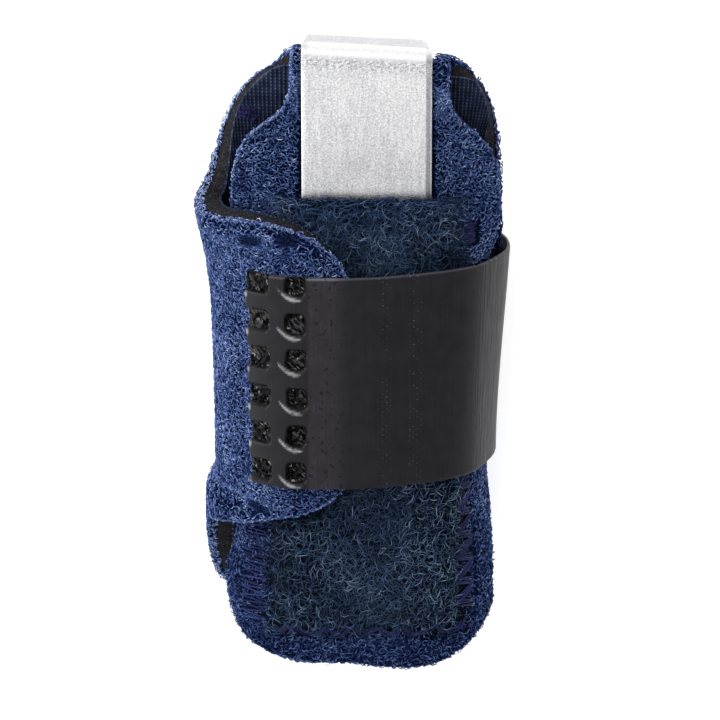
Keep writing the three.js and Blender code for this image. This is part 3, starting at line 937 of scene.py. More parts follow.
# How far the layers' cut edges bulge, and the angle past which their edges are sharp
LINING_BULGE = 0.05
FOAM_BULGE = 0.12
PILE_BULGE = 0.1
POCKET_BULGE = 0.05
SHEET_SHARP = 50


def front_bottom(column):
    """Distance down to the front panel's lower edge, at a share of its half width."""
    corner = np.clip((np.abs(column) - CORNER_START) / (1 - CORNER_START), 0, 1)
    corners = (LEFT_CORNER, RIGHT_CORNER)
    left, right = (cut * corner ** bend + end * corner ** CORNER_TURN for cut, bend, end in corners)
    slope = BOTTOM_SLOPE * rising(column, *SLOPE_COLUMNS)
    return FRONT_LENGTH - slope - np.where(column < 0, left, right)


class Grid:
    """Places of a sheet on its lining side, outward normals, flat pattern and cells."""

    def __init__(self, base, normal, pattern, cells):
        self.base = base
        self.normal = normal
        self.pattern = pattern
        self.cells = cells
        self.down = np.abs(pattern[:, 1])

    def level(self, height):
        return self.base + self.normal * height[:, None]

    def pressed(self, height):
        return self.level(height * press(self.down))

    def pile(self):
        return self.level(pile_top(self.pattern[:, 0], self.down))


def sheet_grid(top_edge):
    """Places of the pattern and its cells: the panels share the line of places along the fold."""
    columns = np.sin(np.linspace(-QUARTER, QUARTER, FRONT_COLUMNS + 1))
    corner_start = front_bottom(-1) + BOTTOM_SLOPE
    front_rows = stations([0, FOLD_TURN, SKEW_REACH, corner_start, FRONT_LENGTH], FRONT_ROWS)
    down = front_rows[:, None] / FRONT_LENGTH * front_bottom(columns)[None, :]
    across = columns * np.where(columns < 0, front_left(down), front_right(down))
    front_index = np.arange(across.size).reshape(across.shape)

    flap_start = LEFT_SIDE - LOWER_BEND + LOWER_BEND * QUARTER + SIDE_WALL + FLAP_BEND * QUARTER
    left = stations([-FLAP_END, -flap_start, -NECK_LEFT], LEFT_COLUMNS)[:-1]
    right = stations([NECK_RIGHT, RIGHT_END], RIGHT_COLUMNS)[1:]
    girths = np.concatenate([left, columns * np.where(columns < 0, NECK_LEFT, NECK_RIGHT), right])
    back_length = back_bottom(0)
    back_rows = stations([0, FOLD_TURN, FOLD_TURN + BACK_RUN, back_length], BACK_ROWS) / back_length
    back_down = mix(top_edge(girths), back_bottom(girths), back_rows[:, None])
    girth = np.broadcast_to(girths, back_down.shape)
    back_index = np.arange(back_down.size).reshape(back_down.shape) + across.size
    neck = slice(len(left), len(left) + len(columns))
    back_index[0, neck] = front_index[0]

    cells = np.concatenate([grid_cells(front_index, False), grid_cells(back_index, True)])
    used, cells = np.unique(cells, return_inverse=True)
    cells = cells.reshape(-1, 4)
    front_places = front_axes(across.ravel(), down.ravel())
    back_places = back_axes(girth.ravel(), back_down.ravel())
    front_pattern = np.stack([across.ravel(), -down.ravel()], 1)
    back_pattern = np.stack([girth.ravel(), back_down.ravel()], 1)
    return Grid(
        base=np.concatenate([front_places[0], back_places[0]])[used],
        normal=np.concatenate([front_places[3], back_places[3]])[used],
        pattern=np.concatenate([front_pattern, back_pattern])[used],
        cells=cells)


sheet = sheet_grid(foam_edge)
pile = sheet_grid(pile_edge)


def flat_area(grid):
    """Area of the flat cut in square metres."""
    x, y = grid.pattern[grid.cells].transpose(2, 0, 1)
    twice = x * np.roll(y, -1, 1) - np.roll(x, -1, 1) * y
    return float(np.abs(twice.sum(1) / 2).sum() * MM ** 2)


def sheet_layer(name, node, grid, inner, outer, bulge, finish):
    points, faces, source = closed_layer(outer, inner, grid.normal, grid.cells, bulge)
    piece = add_piece(name, points, [faces], finish, grid.pattern[source], sharp=SHEET_SHARP)
    cut = np.isin(source, open_edges(grid.cells)).astype(np.float32)
    piece.data.attributes.new("cut", "FLOAT", "POINT").data.foreach_set("value", cut)
    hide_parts(node)
    return piece


lining_sheet = sheet_layer(
    "lining_sheet", "lining", sheet, sheet.base, sheet.pressed(LINING), LINING_BULGE, knit)
foam_sheet = sheet_layer(
    "foam_sheet", "foam_core", sheet,
    sheet.pressed(FOAM_START), sheet.pressed(FOAM_START + FOAM), FOAM_BULGE, foam_black)
pile_sheet = sheet_layer(
    "pile_sheet", "pile_cover", pile, pile.pressed(PILE_START), pile.pile(),
    PILE_BULGE, blue_ground)


# Fibres and stitches: thin closed tubes of three sides, drawn to a point at both ends

FIBRE_SIDES = 3
FIBRE_ARCH = 0.8
FIBRE_TAPER = 0.35
PLASTIC_RATIO = 1.32471795724
SCATTER_JITTER = 0.25
PATCH_WAVES = 12
PATCH_SIZES = (1.2, 3)
PATCH_RANGE = 3.5


def fibre_paths(place, along, side, up, shape, steps):
    """Points along each fibre, which arches up and curls to one side with a wiggle on the way."""
    shape = {key: value[:, None] for key, value in shape.items()}
    t = np.linspace(0, 1, steps)[None, :]
    wiggle = shape["wiggle"] * np.sin(2 * np.pi * shape["waves"] * t + shape["phase"])
    heading = shape["curl"] * (t - 0.5) + wiggle
    step = shape["length"] / (steps - 1)
    forth = np.cumsum(np.cos(heading) * step, axis=1)
    swing = np.cumsum(np.sin(heading) * step, axis=1)
    forth -= forth.mean(axis=1, keepdims=True)
    swing -= swing.mean(axis=1, keepdims=True)
    rise = shape["height"] * np.sin(np.pi * t) ** FIBRE_ARCH
    return (place[:, None] + along[:, None] * forth[..., None]
            + side[:, None] * swing[..., None] + up[:, None] * rise[..., None])


def fibre_piece(name, paths, up, width, tone, hue, finish):
    """One mesh of all the fibres. tone is given at each point of each fibre, hue for each fibre."""
    count, steps = paths.shape[:2]
    rings = steps - 2
    forward = unit(np.gradient(paths, axis=1))
    across = unit(np.cross(forward, up[:, None]))
    over = np.cross(across, forward)
    sides = FIBRE_SIDES
    angles = np.arange(sides) * 2 * np.pi / sides + QUARTER
    spread = np.cos(angles)[:, None] * across[:, 1:-1, None] + np.sin(angles)[:, None] * over[:, 1:-1, None]
    taper = np.sin(np.pi * np.linspace(0, 1, steps)[1:-1]) ** FIBRE_TAPER
    radius = (width[:, None] / 2 * taper)[..., None, None]
    ring = (paths[:, 1:-1, None] + radius * spread).reshape(count, rings * sides, 3)
    points = np.concatenate([paths[:, :1], ring, paths[:, -1:]], 1).reshape(-1, 3)

    last = sides * rings + 1
    faces = []
    for k in range(sides):
        n = (k + 1) % sides
        faces.append([0, 1 + n, 1 + k])
        faces.append([last, last - sides + k, last - sides + n])
        for r in range(rings - 1):
            a = 1 + sides * r
            b = a + sides
            faces += [[a + k, a + n, b + n], [a + k, b + n, b + k]]
    faces = (np.array(faces)[None] + (last + 1) * np.arange(count)[:, None, None]).reshape(-1, 3)
    ring_tone = np.repeat(tone[:, 1:-1], sides, axis=1)
    tones = np.concatenate([tone[:, :1], ring_tone, tone[:, -1:]], 1)
    uv = np.stack([tones, np.broadcast_to(hue[:, None], tones.shape)], -1).reshape(-1, 2)
    piece = add_piece(name, points, [faces], finish, np.clip(uv, 0.01, 0.99), TONE_MAP)
    return piece


def scatter(rng, low, high, density):
    """Evenly spread places in a rectangle, each moved a little at random."""
    low, high = np.array(low, float), np.array(high, float)
    count = int(np.prod(high - low) * density)
    k = np.arange(count)[:, None]
    spots = (k * np.array([1 / PLASTIC_RATIO, 1 / PLASTIC_RATIO ** 2]) + 0.5) % 1
    spots = spots + rng.normal(0, SCATTER_JITTER, spots.shape) / math.sqrt(count)
    return (low + spots % 1 * (high - low)).T


def patchiness(rng, u, v, size):
    """A soft uneven pattern from about -1 to 1, with patches of about that size in mm."""
    total = np.zeros_like(u)
    for _ in range(PATCH_WAVES):
        angle, phase = rng.uniform(0, 2 * np.pi, 2)
        rate = 2 * np.pi / (size * rng.uniform(*PATCH_SIZES))
        total += np.sin(rate * (u * np.cos(angle) + v * np.sin(angle)) + phase)
    return total / PATCH_RANGE


def turned(along_x, along_y, heading):
    c, s = np.cos(heading)[:, None], np.sin(heading)[:, None]
    return along_x * c + along_y * s, along_y * c - along_x * s


# Loops of the blue pile, and those that stick out along its cut edges
LOOP_STEPS = 5
LOOP_LENGTHS = (0.6, 1.25)
LOOP_TALLEST = 0.42
LOOP_CURL = 1.5
LOOP_WIGGLE = 0.5
LOOP_WAVES = (0.5, 1.0)
LOOP_HEADING = 0.9
LOOP_ROOT = 0.06
LOOP_WIDTH = 0.135
LOOP_WIDTHS = (0.75, 1.25)
LOOP_PATCH = 4
PATCH_TONE = 0.07
LOOP_TONE = 0.27
LOOP_CONTRAST = 0.66
# Share of a loop's tone at its roots, darker as painted shade, and how much lighter taller loops are, as
# painted light
LOOP_ROOT_TONE = 0.12
TALL_LIGHT = 0.4
SPOT_FADE = (1.6, 0.6)
SPOT_FLAT = 0.7
SPOT_DARK = 0.75
# Painted light on the loops along the left side's cut edges
LEFT_EDGE_PAINTED_LIGHT = 0.18
RIM_TALLEST = 0.26
RIM_HEADING = 0.8
TUFT_TALLEST = 0.7
SHOULDER_TUFTS = (-14, -3.5)
FLAP_TUFTS = (-22, 30)

# How much painted shade darkens the pile and painted light lightens it in places, and where: across, round
# the girth or down
FOOT_SHADE = 0.13
FOOT_DOWN = (58, 68)
SEAM_SHADE = 0.07
SEAM_ACROSS = (-9, -10)
SEAM_DOWN = (52, 55)
FLAP_SHADE = 0.35
FLAP_SHADE_REACH = 1.5
FOLD_LIGHT = 0.08
FOLD_DOWN = (3, 0)
GAP_SHADE = 0.4
GAP_GIRTH = (14.5, 16)
GAP_DOWN = (19, 21.5, 28, 32)
RIM_LIGHT = 0.2
RIM_GIRTH = (-26, -22, -14, -12)
RIM_REACH = 3

# Where the flap's lower edge hides the front panel: place across, distance down
FLAP_LINE = [
    (-14, 55.8),
    (-12, 55.3),
    (-9.5, 54.2),
    (-7.5, 53.3),
    (-5.5, 52.1),
    (-2.6, 49.6),
    (0, 46),
]
flap_line = track(FLAP_LINE, 1)

# Places where the flap's pile is lower and darker: distance round the girth, distance down, half width, half
# height
LOW_DARK_SPOTS = [
    (-33, 19.2, 1.2, 0.75),
    (-37.2, 19.0, 1.0, 0.65),
    (-33.1, 52.6, 1.2, 0.55),
]


def low_dark_spot(u, v):
    """1 in the middle of one of those places, 0 away from all of them."""
    reach = [np.hypot((u - x) / half_x, (v - y) / half_y) for x, y, half_x, half_y in LOW_DARK_SPOTS]
    return rising(np.min(reach, axis=0), *SPOT_FADE)


def lean_out(distance, slope):
    """Share of the way straight out of a cut edge and along it, for loops near that edge."""
    steepness = np.hypot(1, slope)
    share = smooth(1 - distance / steepness / EDGE_REACH) / steepness
    return share, share * slope


def edge_slope(edge, place):
    step = 0.05
    return (edge(place + step) - edge(place - step)) / (2 * step)


def front_lean(across, down):
    """Ways outwards, across and down, at places near the front panel's edges."""
    side = np.where(across < 0, front_left(down), front_right(down))
    slope = np.where(across < 0, edge_slope(front_left, down), edge_slope(front_right, down))
    out, along = lean_out(side - np.abs(across), slope)
    below, _ = lean_out(front_bottom(np.clip(across / side, -1, 1)) - down, 0)
    return np.sign(across) * out, below - along


def back_lean(girth, down):
    """Ways outwards, round the girth and down, at places near the back panel's edges."""
    above, above_side = lean_out(down - pile_edge(girth), edge_slope(pile_edge, girth))
    below, below_side = lean_out(back_bottom(girth) - down, edge_slope(back_bottom, girth))
    right, _ = lean_out(RIGHT_END - girth, 0)
    left, _ = lean_out(girth + FLAP_END, 0)
    cut = (girth < -NECK_LEFT) | (girth > NECK_RIGHT)
    return right - left + np.where(cut, above_side, 0) - below_side, below - np.where(cut, above, 0)


def below_flap(across, down):
    """1 at the line that the flap's lower edge hides, fading out below it."""
    return smooth(1 - (down - flap_line(across)) / FLAP_SHADE_REACH) * (down > FLAP_LINE[-1][1])


def front_shade(across, down):
    """Painted shadow on the front panel's pile below the flap, painted shade on its seam and foot, and
    painted light at the fold.
    """
    foot = FOOT_SHADE * rising(down, *FOOT_DOWN)
    seam = SEAM_SHADE * rising(across, *SEAM_ACROSS) * rising(down, *SEAM_DOWN)
    flap = FLAP_SHADE * below_flap(across, down)
    return foot + seam + flap - FOLD_LIGHT * rising(down, *FOLD_DOWN)


def back_shade(girth, down):
    """Painted shade on the back panel's pile inside the strap's top edge, and painted light on its left rim.
    """
    gap = rising(girth, *GAP_GIRTH) * band(down, *GAP_DOWN)
    rim = band(girth, *RIM_GIRTH) * rising(down - pile_edge(girth), RIM_REACH, 0)
    return GAP_SHADE * gap - RIM_LIGHT * rim


def fibre_shape(rng, count, lengths, heights, curl, wiggle, waves):
    """Chance lengths, heights and bends of fibres, as fibre_paths takes them."""
    return {
        "length": rng.uniform(*lengths, count),
        "height": rng.uniform(*heights, count),
        "curl": rng.normal(0, curl, count),
        "wiggle": rng.normal(0, wiggle, count),
        "waves": rng.uniform(*waves, count),
        "phase": rng.uniform(0, 2 * np.pi, count),
    }


def arched_tone(own, root, steps):
    """Tone along each fibre: its own in the middle, and a share of that at its roots, as painted shade."""
    arch = np.sin(np.pi * np.linspace(0, 1, steps))[None, :]
    return own[:, None] * (root + (1 - root) * arch)


def loop_piece(name, rng, place, along, up, tone_shift, low_dark, tallest, steps=LOOP_STEPS, size=1):
    """One mesh of short arched loops of the blue pile."""
    count = len(place)
    along = unit(along - up * (along * up).sum(1)[:, None])
    heights = (tallest / 3, tallest)
    shape = fibre_shape(rng, count, LOOP_LENGTHS, heights, LOOP_CURL, LOOP_WIGGLE, LOOP_WAVES)
    shape["length"] *= size
    shape["height"] *= 1 - SPOT_FLAT * low_dark
    paths = fibre_paths(place, along, np.cross(up, along), up, shape, steps)
    own = LOOP_TONE + LOOP_CONTRAST * rng.beta(2.0, 2.1, count)
    # Taller loops lighter, as painted light, plus the shift passed in: random patches with painted shade and
    # light
    own = own + TALL_LIGHT * (shape["height"] - tallest * 0.67) + tone_shift
    tone = arched_tone(own * (1 - SPOT_DARK * low_dark), LOOP_ROOT_TONE, steps)
    width = LOOP_WIDTH * rng.uniform(*LOOP_WIDTHS, count) * size
    return fibre_piece(name, paths, up, width, tone, rng.beta(1.2, 2.6, count), blue_fibre)


def pile_loops(name, seed, axes, lean, top, shade, u, v, **loops):
    """Loops at places of the pattern, most of them lying across it, rooted just below a surface's top."""
    rng = np.random.default_rng(seed)
    place, along_x, along_y, up = axes(u, v)
    lean_x, lean_y = lean(u, v)
    out = along_x * lean_x[:, None] + along_y * lean_y[:, None]
    place = place + up * (top(u, v) - LOOP_ROOT)[:, None]
    along, _ = turned(along_x, along_y, rng.normal(0, LOOP_HEADING, len(u)))
    # Random patches, darkened by the painted shade and lightened by the painted light that shade gives
    tone_shift = PATCH_TONE * patchiness(rng, u, v, LOOP_PATCH) - shade(u, v)
    up = unit(up + EDGE_LEAN * out)
    return loop_piece(name, rng, place, along, up, tone_shift, low_dark_spot(u, v), LOOP_TALLEST, **loops)


def edge_loops(name, seed, per_mm):
    """Loops along the cut edges of the sheet, which stick out of them."""
    rng = np.random.default_rng(seed)
    edges = open_edges(pile.cells)
    low = pile.pressed(PILE_START)
    high = pile.pile()
    span = high[edges[:, 1]] - high[edges[:, 0]]
    length = np.cumsum(np.linalg.norm(span, axis=1))
    count = int(length[-1] * per_mm)
    pick = np.searchsorted(length, rng.uniform(0, length[-1], count))
    first, last = edges[pick].T
    way = rng.uniform(0, 1, (count, 1))
    rise = rng.uniform(0, 1, (count, 1))
    place = mix(mix(low[first], low[last], way), mix(high[first], high[last], way), rise)
    normal = unit(mix(pile.normal[first], pile.normal[last], way))
    out = unit(np.cross(span[pick], normal))
    up = unit(out + normal * rise)
    forward = unit(span[pick])
    along, _ = turned(forward, np.cross(up, forward), rng.normal(0, RIM_HEADING, count))
    u, v = mix(pile.pattern[first], pile.pattern[last], way).T
    shoulder = (v > SHOULDER_TUFTS[0]) & (v < SHOULDER_TUFTS[1])
    flap_top = (u < FLAP_TUFTS[0]) & (v > 0) & (v < FLAP_TUFTS[1])
    tufted = (shoulder | flap_top) * rng.uniform(0, 1, count) ** 2
    # Painted light on the left side's edge loops, with back_shade's painted shade and light
    lit = np.where(place[:, 0] < 0, LEFT_EDGE_PAINTED_LIGHT, 0) - np.where(v > 0, back_shade(u, v), 0)
    tallest = mix(RIM_TALLEST, TUFT_TALLEST, tufted)
    return loop_piece(name, rng, place - LOOP_ROOT * up, along, up, lit, np.zeros(count), tallest)


# How far loops of the front panel come up over the pocket's sewn border
BORDER = 2.4

# Width of the bare strip of dark ground along the stay's sides, left bare as a painted shadow, and distance
# down over which it opens
STAY_SHADOW = 0.3
SHADOW_DOWN = (1.5, 3.5)

# How far loops and fibres reach in under the stay's and the strap's edges
STAY_LAP = 0.1
BACK_LEG_LAP = 0.6
STRAP_LAP = 1

# Where no loops are made, because the flap or the strap's left end hides them
FLAP_HIDES_ACROSS = -8
FLAP_HIDES_DOWN = (20, 53)
STRAP_STARTS = -33.6

# Where the seams press the pile flat: ranges across, lowest place, share of the loops that go
LEFT_SEAM = (-13.2, -10)
RIGHT_SEAM = (8.9, 12.1)
SEAM_END = 68
SEAM_PRESSED = 0.55

# Bar tacks: place across, place down, half width, half height
LEFT_TACK = (-10.3, 17.5, 1, 0.8)
RIGHT_TACK = (10.9, 20.1, 1.4, 1.4)

# Loops for each square mm, or for each mm of cut edge, and the places where their ranges start
FRONT_DENSITY = 14
FRONT_SPAN = (-17, 16)
FOLD_DENSITY = 24
FLAP_DENSITY = 17
WING_DENSITY = 13
BACK_DENSITY = 6.5
EDGE_DENSITY = 14
WING_FROM = -27
BACK_FROM = -12


def within(place, limits):
    return (place > limits[0]) & (place < limits[1])


def under_strap(down):
    return within(down, (STRAP_TOP + STRAP_LAP, STRAP_BOTTOM - STRAP_LAP))


def on_tack(across, down, tack):
    middle_across, middle_down, half_width, half_height = tack
    return (np.abs(across - middle_across) < half_width) & (np.abs(down - middle_down) < half_height)


def on_seam(across, down):
    """Places of the front panel where stitches press the pile flat, and where a tack leaves none."""
    side = within(across, LEFT_SEAM) | within(across, RIGHT_SEAM)
    sewn = side & within(down, (STRAP_BOTTOM, SEAM_END))
    return sewn | on_tack(across, down, LEFT_TACK), on_tack(across, down, RIGHT_TACK)


def front_loops():
    rng = np.random.default_rng(11)
    across, down = scatter(rng, (FRONT_SPAN[0], 0), (FRONT_SPAN[1], FRONT_LENGTH), FRONT_DENSITY)
    fold_across, fold_down = scatter(rng, (-NECK_LEFT, 0), (NECK_RIGHT, PUFF_REACH), FOLD_DENSITY)
    across = np.append(across, fold_across)
    down = np.append(down, fold_down)
    side = np.where(across < 0, front_left(down), front_right(down))
    inside = (np.abs(across) < side) & (down < front_bottom(np.clip(across / side, -1, 1)))
    onto_pocket = BORDER * rng.beta(1, 2, len(across))
    pocket = (pocket_edge(across, down) > onto_pocket) & (down > POCKET_TOP)
    gap = STAY_SHADOW * rising(down, *SHADOW_DOWN) - STAY_LAP
    stay = (np.abs(across) < STAY_WIDTH / 2 + gap) & (down < POCKET_TOP)
    flap = (across < FLAP_HIDES_ACROSS) & within(down, FLAP_HIDES_DOWN)
    sewn, bare = on_seam(across, down)
    pressed = sewn & (rng.uniform(0, 1, len(across)) < SEAM_PRESSED) | bare
    keep = inside & ~pocket & ~stay & ~flap & ~under_strap(down) & ~pressed
    return pile_loops("pile_loops_front", 12, front_axes, front_lean, front_top, front_shade,
                      across[keep], down[keep])


def back_loops(name, seed, girth_range, density, **loops):
    rng = np.random.default_rng(seed)
    girth, down = scatter(rng, (girth_range[0], 0), (girth_range[1], back_bottom(0)), density)
    inside = (down > pile_edge(girth)) & (down < back_bottom(girth))
    stay = (np.abs(girth) < STAY_WIDTH / 2 - STAY_LAP) & (down < STAY_BACK_LEG - BACK_LEG_LAP)
    strap = under_strap(down) & ((girth > STRAP_END + STRAP_LAP) | (girth < STRAP_STARTS))
    keep = inside & ~stay & ~strap
    return pile_loops(name, seed + 1, back_axes, back_lean, pile_top, back_shade,
                      girth[keep], down[keep], **loops)


loops_front = front_loops()
loops_flap = back_loops("pile_loops_flap", 21, (-FLAP_END, WING_FROM), FLAP_DENSITY)
loops_wing = back_loops("pile_loops_wing", 24, (WING_FROM, BACK_FROM), WING_DENSITY, steps=4, size=1.14)
loops_back = back_loops("pile_loops_back", 33, (BACK_FROM, RIGHT_END), BACK_DENSITY, steps=4, size=1.5)
loops_edge = edge_loops("pile_loops_edge", 35, EDGE_DENSITY)

SHEET_FLAT = ((FLAP_END + RIGHT_END) * MM, (FRONT_LENGTH + float(back_bottom(0))) * MM)
SHEET_AREA = flat_area(sheet)
PILE_AREA = flat_area(pile)


# Pocket: a patch of long curly pile, sewn down along its sides and bottom

POCKET_COLUMNS = 40
POCKET_ROWS = [40, 16]


def pocket_patch():
    columns = np.sin(np.linspace(-QUARTER, QUARTER, POCKET_COLUMNS + 1))
    rows = stations([POCKET_TOP, STAY_END - POCKET_TAPER, POCKET_BOTTOM], POCKET_ROWS)
    corner = np.clip((np.abs(columns) - POCKET_CORNER_START) / (1 - POCKET_CORNER_START), 0, 1)
    bottom = POCKET_BOTTOM - POCKET_CORNER * (1 - np.sqrt(1 - corner ** 2))
    down = mix(POCKET_TOP, bottom[None, :], ((rows - POCKET_TOP) / (POCKET_BOTTOM - POCKET_TOP))[:, None])
    across = np.broadcast_to(np.where(columns < 0, POCKET_LEFT, POCKET_RIGHT) * columns, down.shape)
    u, v = across.ravel(), down.ravel()
    place, _, _, up = front_axes(u, v)
    inner = place + up * pocket_rise(u, v)[:, None]
    outer = inner + up * pocket_thickness(u, v)[:, None]
    cells = grid_cells(np.arange(u.size).reshape(down.shape), False)
    grid = Grid(place, up, np.stack([u, -v], 1), cells)
    piece = sheet_layer(
        "pocket_patch", "stay_pocket", grid, inner, outer, POCKET_BULGE, pocket_ground)
    return piece, flat_area(grid)


# Fibres of the pocket: shapes and tones
POCKET_STEPS = 7
POCKET_LENGTHS = (1.2, 3.2)
POCKET_HEIGHTS = (0.05, 0.42)
POCKET_CURL = 2.6
POCKET_WIGGLE = 0.7
POCKET_WAVES = (0.6, 1.4)
POCKET_ROOT = 0.04
POCKET_FIBRE = 0.072
POCKET_WIDTHS = (0.7, 1.3)
POCKET_TONE = 0.51
# Share of a fibre's tone at its roots, darker as painted shade, and how much lighter taller fibres are, as
# painted light
POCKET_ROOT_TONE = 0.25
POCKET_TALL_LIGHT = 0.45
POCKET_PATCH = 5
UPPER_LAP = 3.5
UPPER_DENSITY = 16.5
UPPER_CONTRAST = 0.76
LOWER_LAP = 1.5
LOWER_DENSITY = 11
LOWER_CONTRAST = 0.62

# Shorter fibres near the sewn edges, some of which stray over them, and fewer on the seams
STRAY = 0.8
SHORTEST = 0.4
SHORT_REACH = 2.4
SEAM_REACH = 2.2
LEFT_THINNED = 0.55
RIGHT_THINNED = 0.85

# Fringe of straighter fibres along the pocket's top edge
FRINGE = 1.2
FRINGE_DENSITY = 55
FRINGE_INSET = 0.5
FRINGE_WIDTH = 0.45
FRINGE_SHARE = 0.2
FRINGE_HEADING = 0.3
FRINGE_STRAIGHT = 0.75

# Painted shade near the strap's top edge, lighter at the lower right, and where fibres are bluer
STRAP_SHADE = 0.15
STRAP_SHADE_DOWN = (19.5, 23.5)
LOWER_LIGHT = 0.08
LOWER_LIGHT_ACROSS = (0, 6)
BLUER_TOP = 0.5
BLUER_TOP_DOWN = (22, 14)
BLUER_EDGE = 0.6
BLUER_EDGE_REACH = 3


def pocket_places(rng, top, bottom, density):
    """Places of the fibres, with a fringe at the pocket's top edge and fewer on its seams."""
    u, v = scatter(rng, (-POCKET_LEFT - STRAY, top), (POCKET_RIGHT + STRAY, bottom), density)
    if top == POCKET_TOP:
        low = (FRINGE_INSET - POCKET_LEFT, top)
        high = (POCKET_RIGHT - FRINGE_INSET, top + FRINGE_WIDTH)
        fringe = scatter(rng, low, high, FRINGE_DENSITY)
        u, v = np.append(u, fringe[0]), np.append(v, fringe[1])
    stray = pocket_edge(u, v) < STRAY * (1 - 2 * rng.uniform(0, 1, len(u)))
    thinned = rng.uniform(0, 1, len(u)) < np.where(u > 0, RIGHT_THINNED, LEFT_THINNED)
    sewn = (pocket_edge(u, v) < SEAM_REACH) & (v > STRAP_BOTTOM) & thinned
    return u[~stray & ~sewn], v[~stray & ~sewn]


def pocket_shade(u, v):
    """Painted shade on the pocket's fibres by the strap and painted shadow below the flap, or lighter at the
    lower right.
    """
    below = v > STRAP_MIDDLE
    strap = STRAP_SHADE * rising(v, *STRAP_SHADE_DOWN) * ~below
    light = LOWER_LIGHT * rising(u, *LOWER_LIGHT_ACROSS) * below
    return strap + FLAP_SHADE * below_flap(u, v) - light


def pocket_fibres(name, seed, top, bottom, density, contrast):
    """Long fibres that lie about on the pocket, curled and crossing."""
    rng = np.random.default_rng(seed)
    u, v = pocket_places(rng, top, bottom, density)
    count = len(u)
    place, along_x, along_y, up = front_axes(u, v)
    from_edge = pocket_edge(u, v)
    at_top = rising(v - POCKET_TOP, FRINGE, 0)
    fringed = rng.normal(0, FRINGE_HEADING, count)
    heading = np.where(at_top > FRINGE_SHARE, fringed, rng.uniform(0, 2 * np.pi, count))
    along, side = turned(along_x, along_y, heading)
    near_edge = mix(SHORTEST, 1, smooth((from_edge + STRAY) / SHORT_REACH))
    shape = fibre_shape(
        rng, count, POCKET_LENGTHS, POCKET_HEIGHTS, POCKET_CURL, POCKET_WIGGLE, POCKET_WAVES)
    shape["length"] *= near_edge
    shape["height"] *= near_edge
    shape["curl"] *= 1 - FRINGE_STRAIGHT * at_top
    sunk = at_top * rng.uniform(0, 1, count) * pocket_thickness(u, v) + POCKET_ROOT
    root = place + up * (pocket_rise(u, v) + pocket_thickness(u, v) - sunk)[:, None]
    paths = fibre_paths(root, along, side, up, shape, POCKET_STEPS)
    # Taller fibres lighter, as painted light, then the painted shade and shadow of pocket_shade
    own = POCKET_TONE + contrast * (rng.beta(1.7, 2.0, count) - 0.5) + POCKET_TALL_LIGHT * shape["height"]
    own = own + PATCH_TONE * patchiness(rng, u, v, POCKET_PATCH) - pocket_shade(u, v)
    tone = arched_tone(own, POCKET_ROOT_TONE, POCKET_STEPS)
    width = POCKET_FIBRE * rng.uniform(*POCKET_WIDTHS, count)
    bluer = BLUER_TOP * rising(v, *BLUER_TOP_DOWN) + BLUER_EDGE * rising(from_edge, BLUER_EDGE_REACH, 0)
    hue = np.clip(rng.beta(1.2, 2.0, count) + bluer, 0, 1)
    return fibre_piece(name, paths, up, width, tone, hue, pocket_fibre)


pocket, POCKET_AREA = pocket_patch()
fibres_upper = pocket_fibres(
    "pocket_fibres_upper", 41, POCKET_TOP, STRAP_TOP + UPPER_LAP, UPPER_DENSITY, UPPER_CONTRAST)
fibres_lower = pocket_fibres(
    "pocket_fibres_lower", 42, STRAP_BOTTOM - LOWER_LAP, POCKET_BOTTOM + STRAY, LOWER_DENSITY, LOWER_CONTRAST)


# Seams: zigzag stitches along the sides and bottom of the pocket, and bar tacks at its top corners

THREAD = 0.3
THREAD_STEPS = 7
THREAD_ABOVE = 0.22
THREAD_DIP = 0.5
HOLE_JITTER = 0.1
LINING_SINK = 0.1
TUFT_HEADING = (0.2, 0.6)
TUFT_HALF = (0.25, 0.6)
DARKEST_THREAD = 0.1


def stitches(name, seed, seams, axes, top):
    """One thread over each pair of needle holes: across, down, across, down. Seams have a hue and a tone."""
    rng = np.random.default_rng(seed)
    ends = np.concatenate([seam for seam, _, _ in seams])
    purple = np.concatenate([np.full(len(seam), hue, float) for seam, hue, _ in seams])
    brightest = np.concatenate([np.full(len(seam), tone, float) for seam, _, tone in seams])
    ends = ends + rng.normal(0, HOLE_JITTER, (len(ends), 4))
    t = np.linspace(0, 1, THREAD_STEPS)
    u = mix(ends[:, :1], ends[:, 2:3], t)
    v = mix(ends[:, 1:2], ends[:, 3:], t)
    place, _, _, up = axes(u.ravel(), v.ravel())
    above = np.broadcast_to(THREAD_ABOVE - THREAD_DIP * (2 * t - 1) ** 4, u.shape).ravel()
    paths = place + up * (top(u.ravel(), v.ravel()) + above)[:, None]
    count = len(ends)
    tone = np.broadcast_to(rng.uniform(DARKEST_THREAD, brightest)[:, None], u.shape)
    paths = paths.reshape(count, THREAD_STEPS, 3)
    middle = up.reshape(count, THREAD_STEPS, 3)[:, THREAD_STEPS // 2]
    width = np.full(count, THREAD)
    return fibre_piece(name, paths, middle, width, tone, purple, thread_blue)


def zigzag(start, end, offset, pitch):
    """Needle holes that swing from one side of a line to the other, as pairs."""
    start, end, offset = (np.array(x, float) for x in (start, end, offset))
    count = int(np.linalg.norm(end - start) / pitch * 2)
    t = np.linspace(0, 1, count + 1)[:, None]
    swing = np.where(np.arange(count + 1) % 2 == 0, 1, -1)[:, None]
    holes = start + (end - start) * t + offset * swing
    return np.concatenate([holes[:-1], holes[1:]], 1)


def tuft(seed, centre, spread, count):
    """Short stitches that lie about a place in no order, as pairs of needle holes."""
    rng = np.random.default_rng(seed)
    middle = np.array(centre) + np.array(spread) * rng.normal(0, 0.5, (count, 2))
    heading = rng.normal(*TUFT_HEADING, count)
    half = np.stack([np.cos(heading), np.sin(heading)], 1) * rng.uniform(*TUFT_HALF, (count, 1))
    return np.concatenate([middle - half, middle + half], 1)


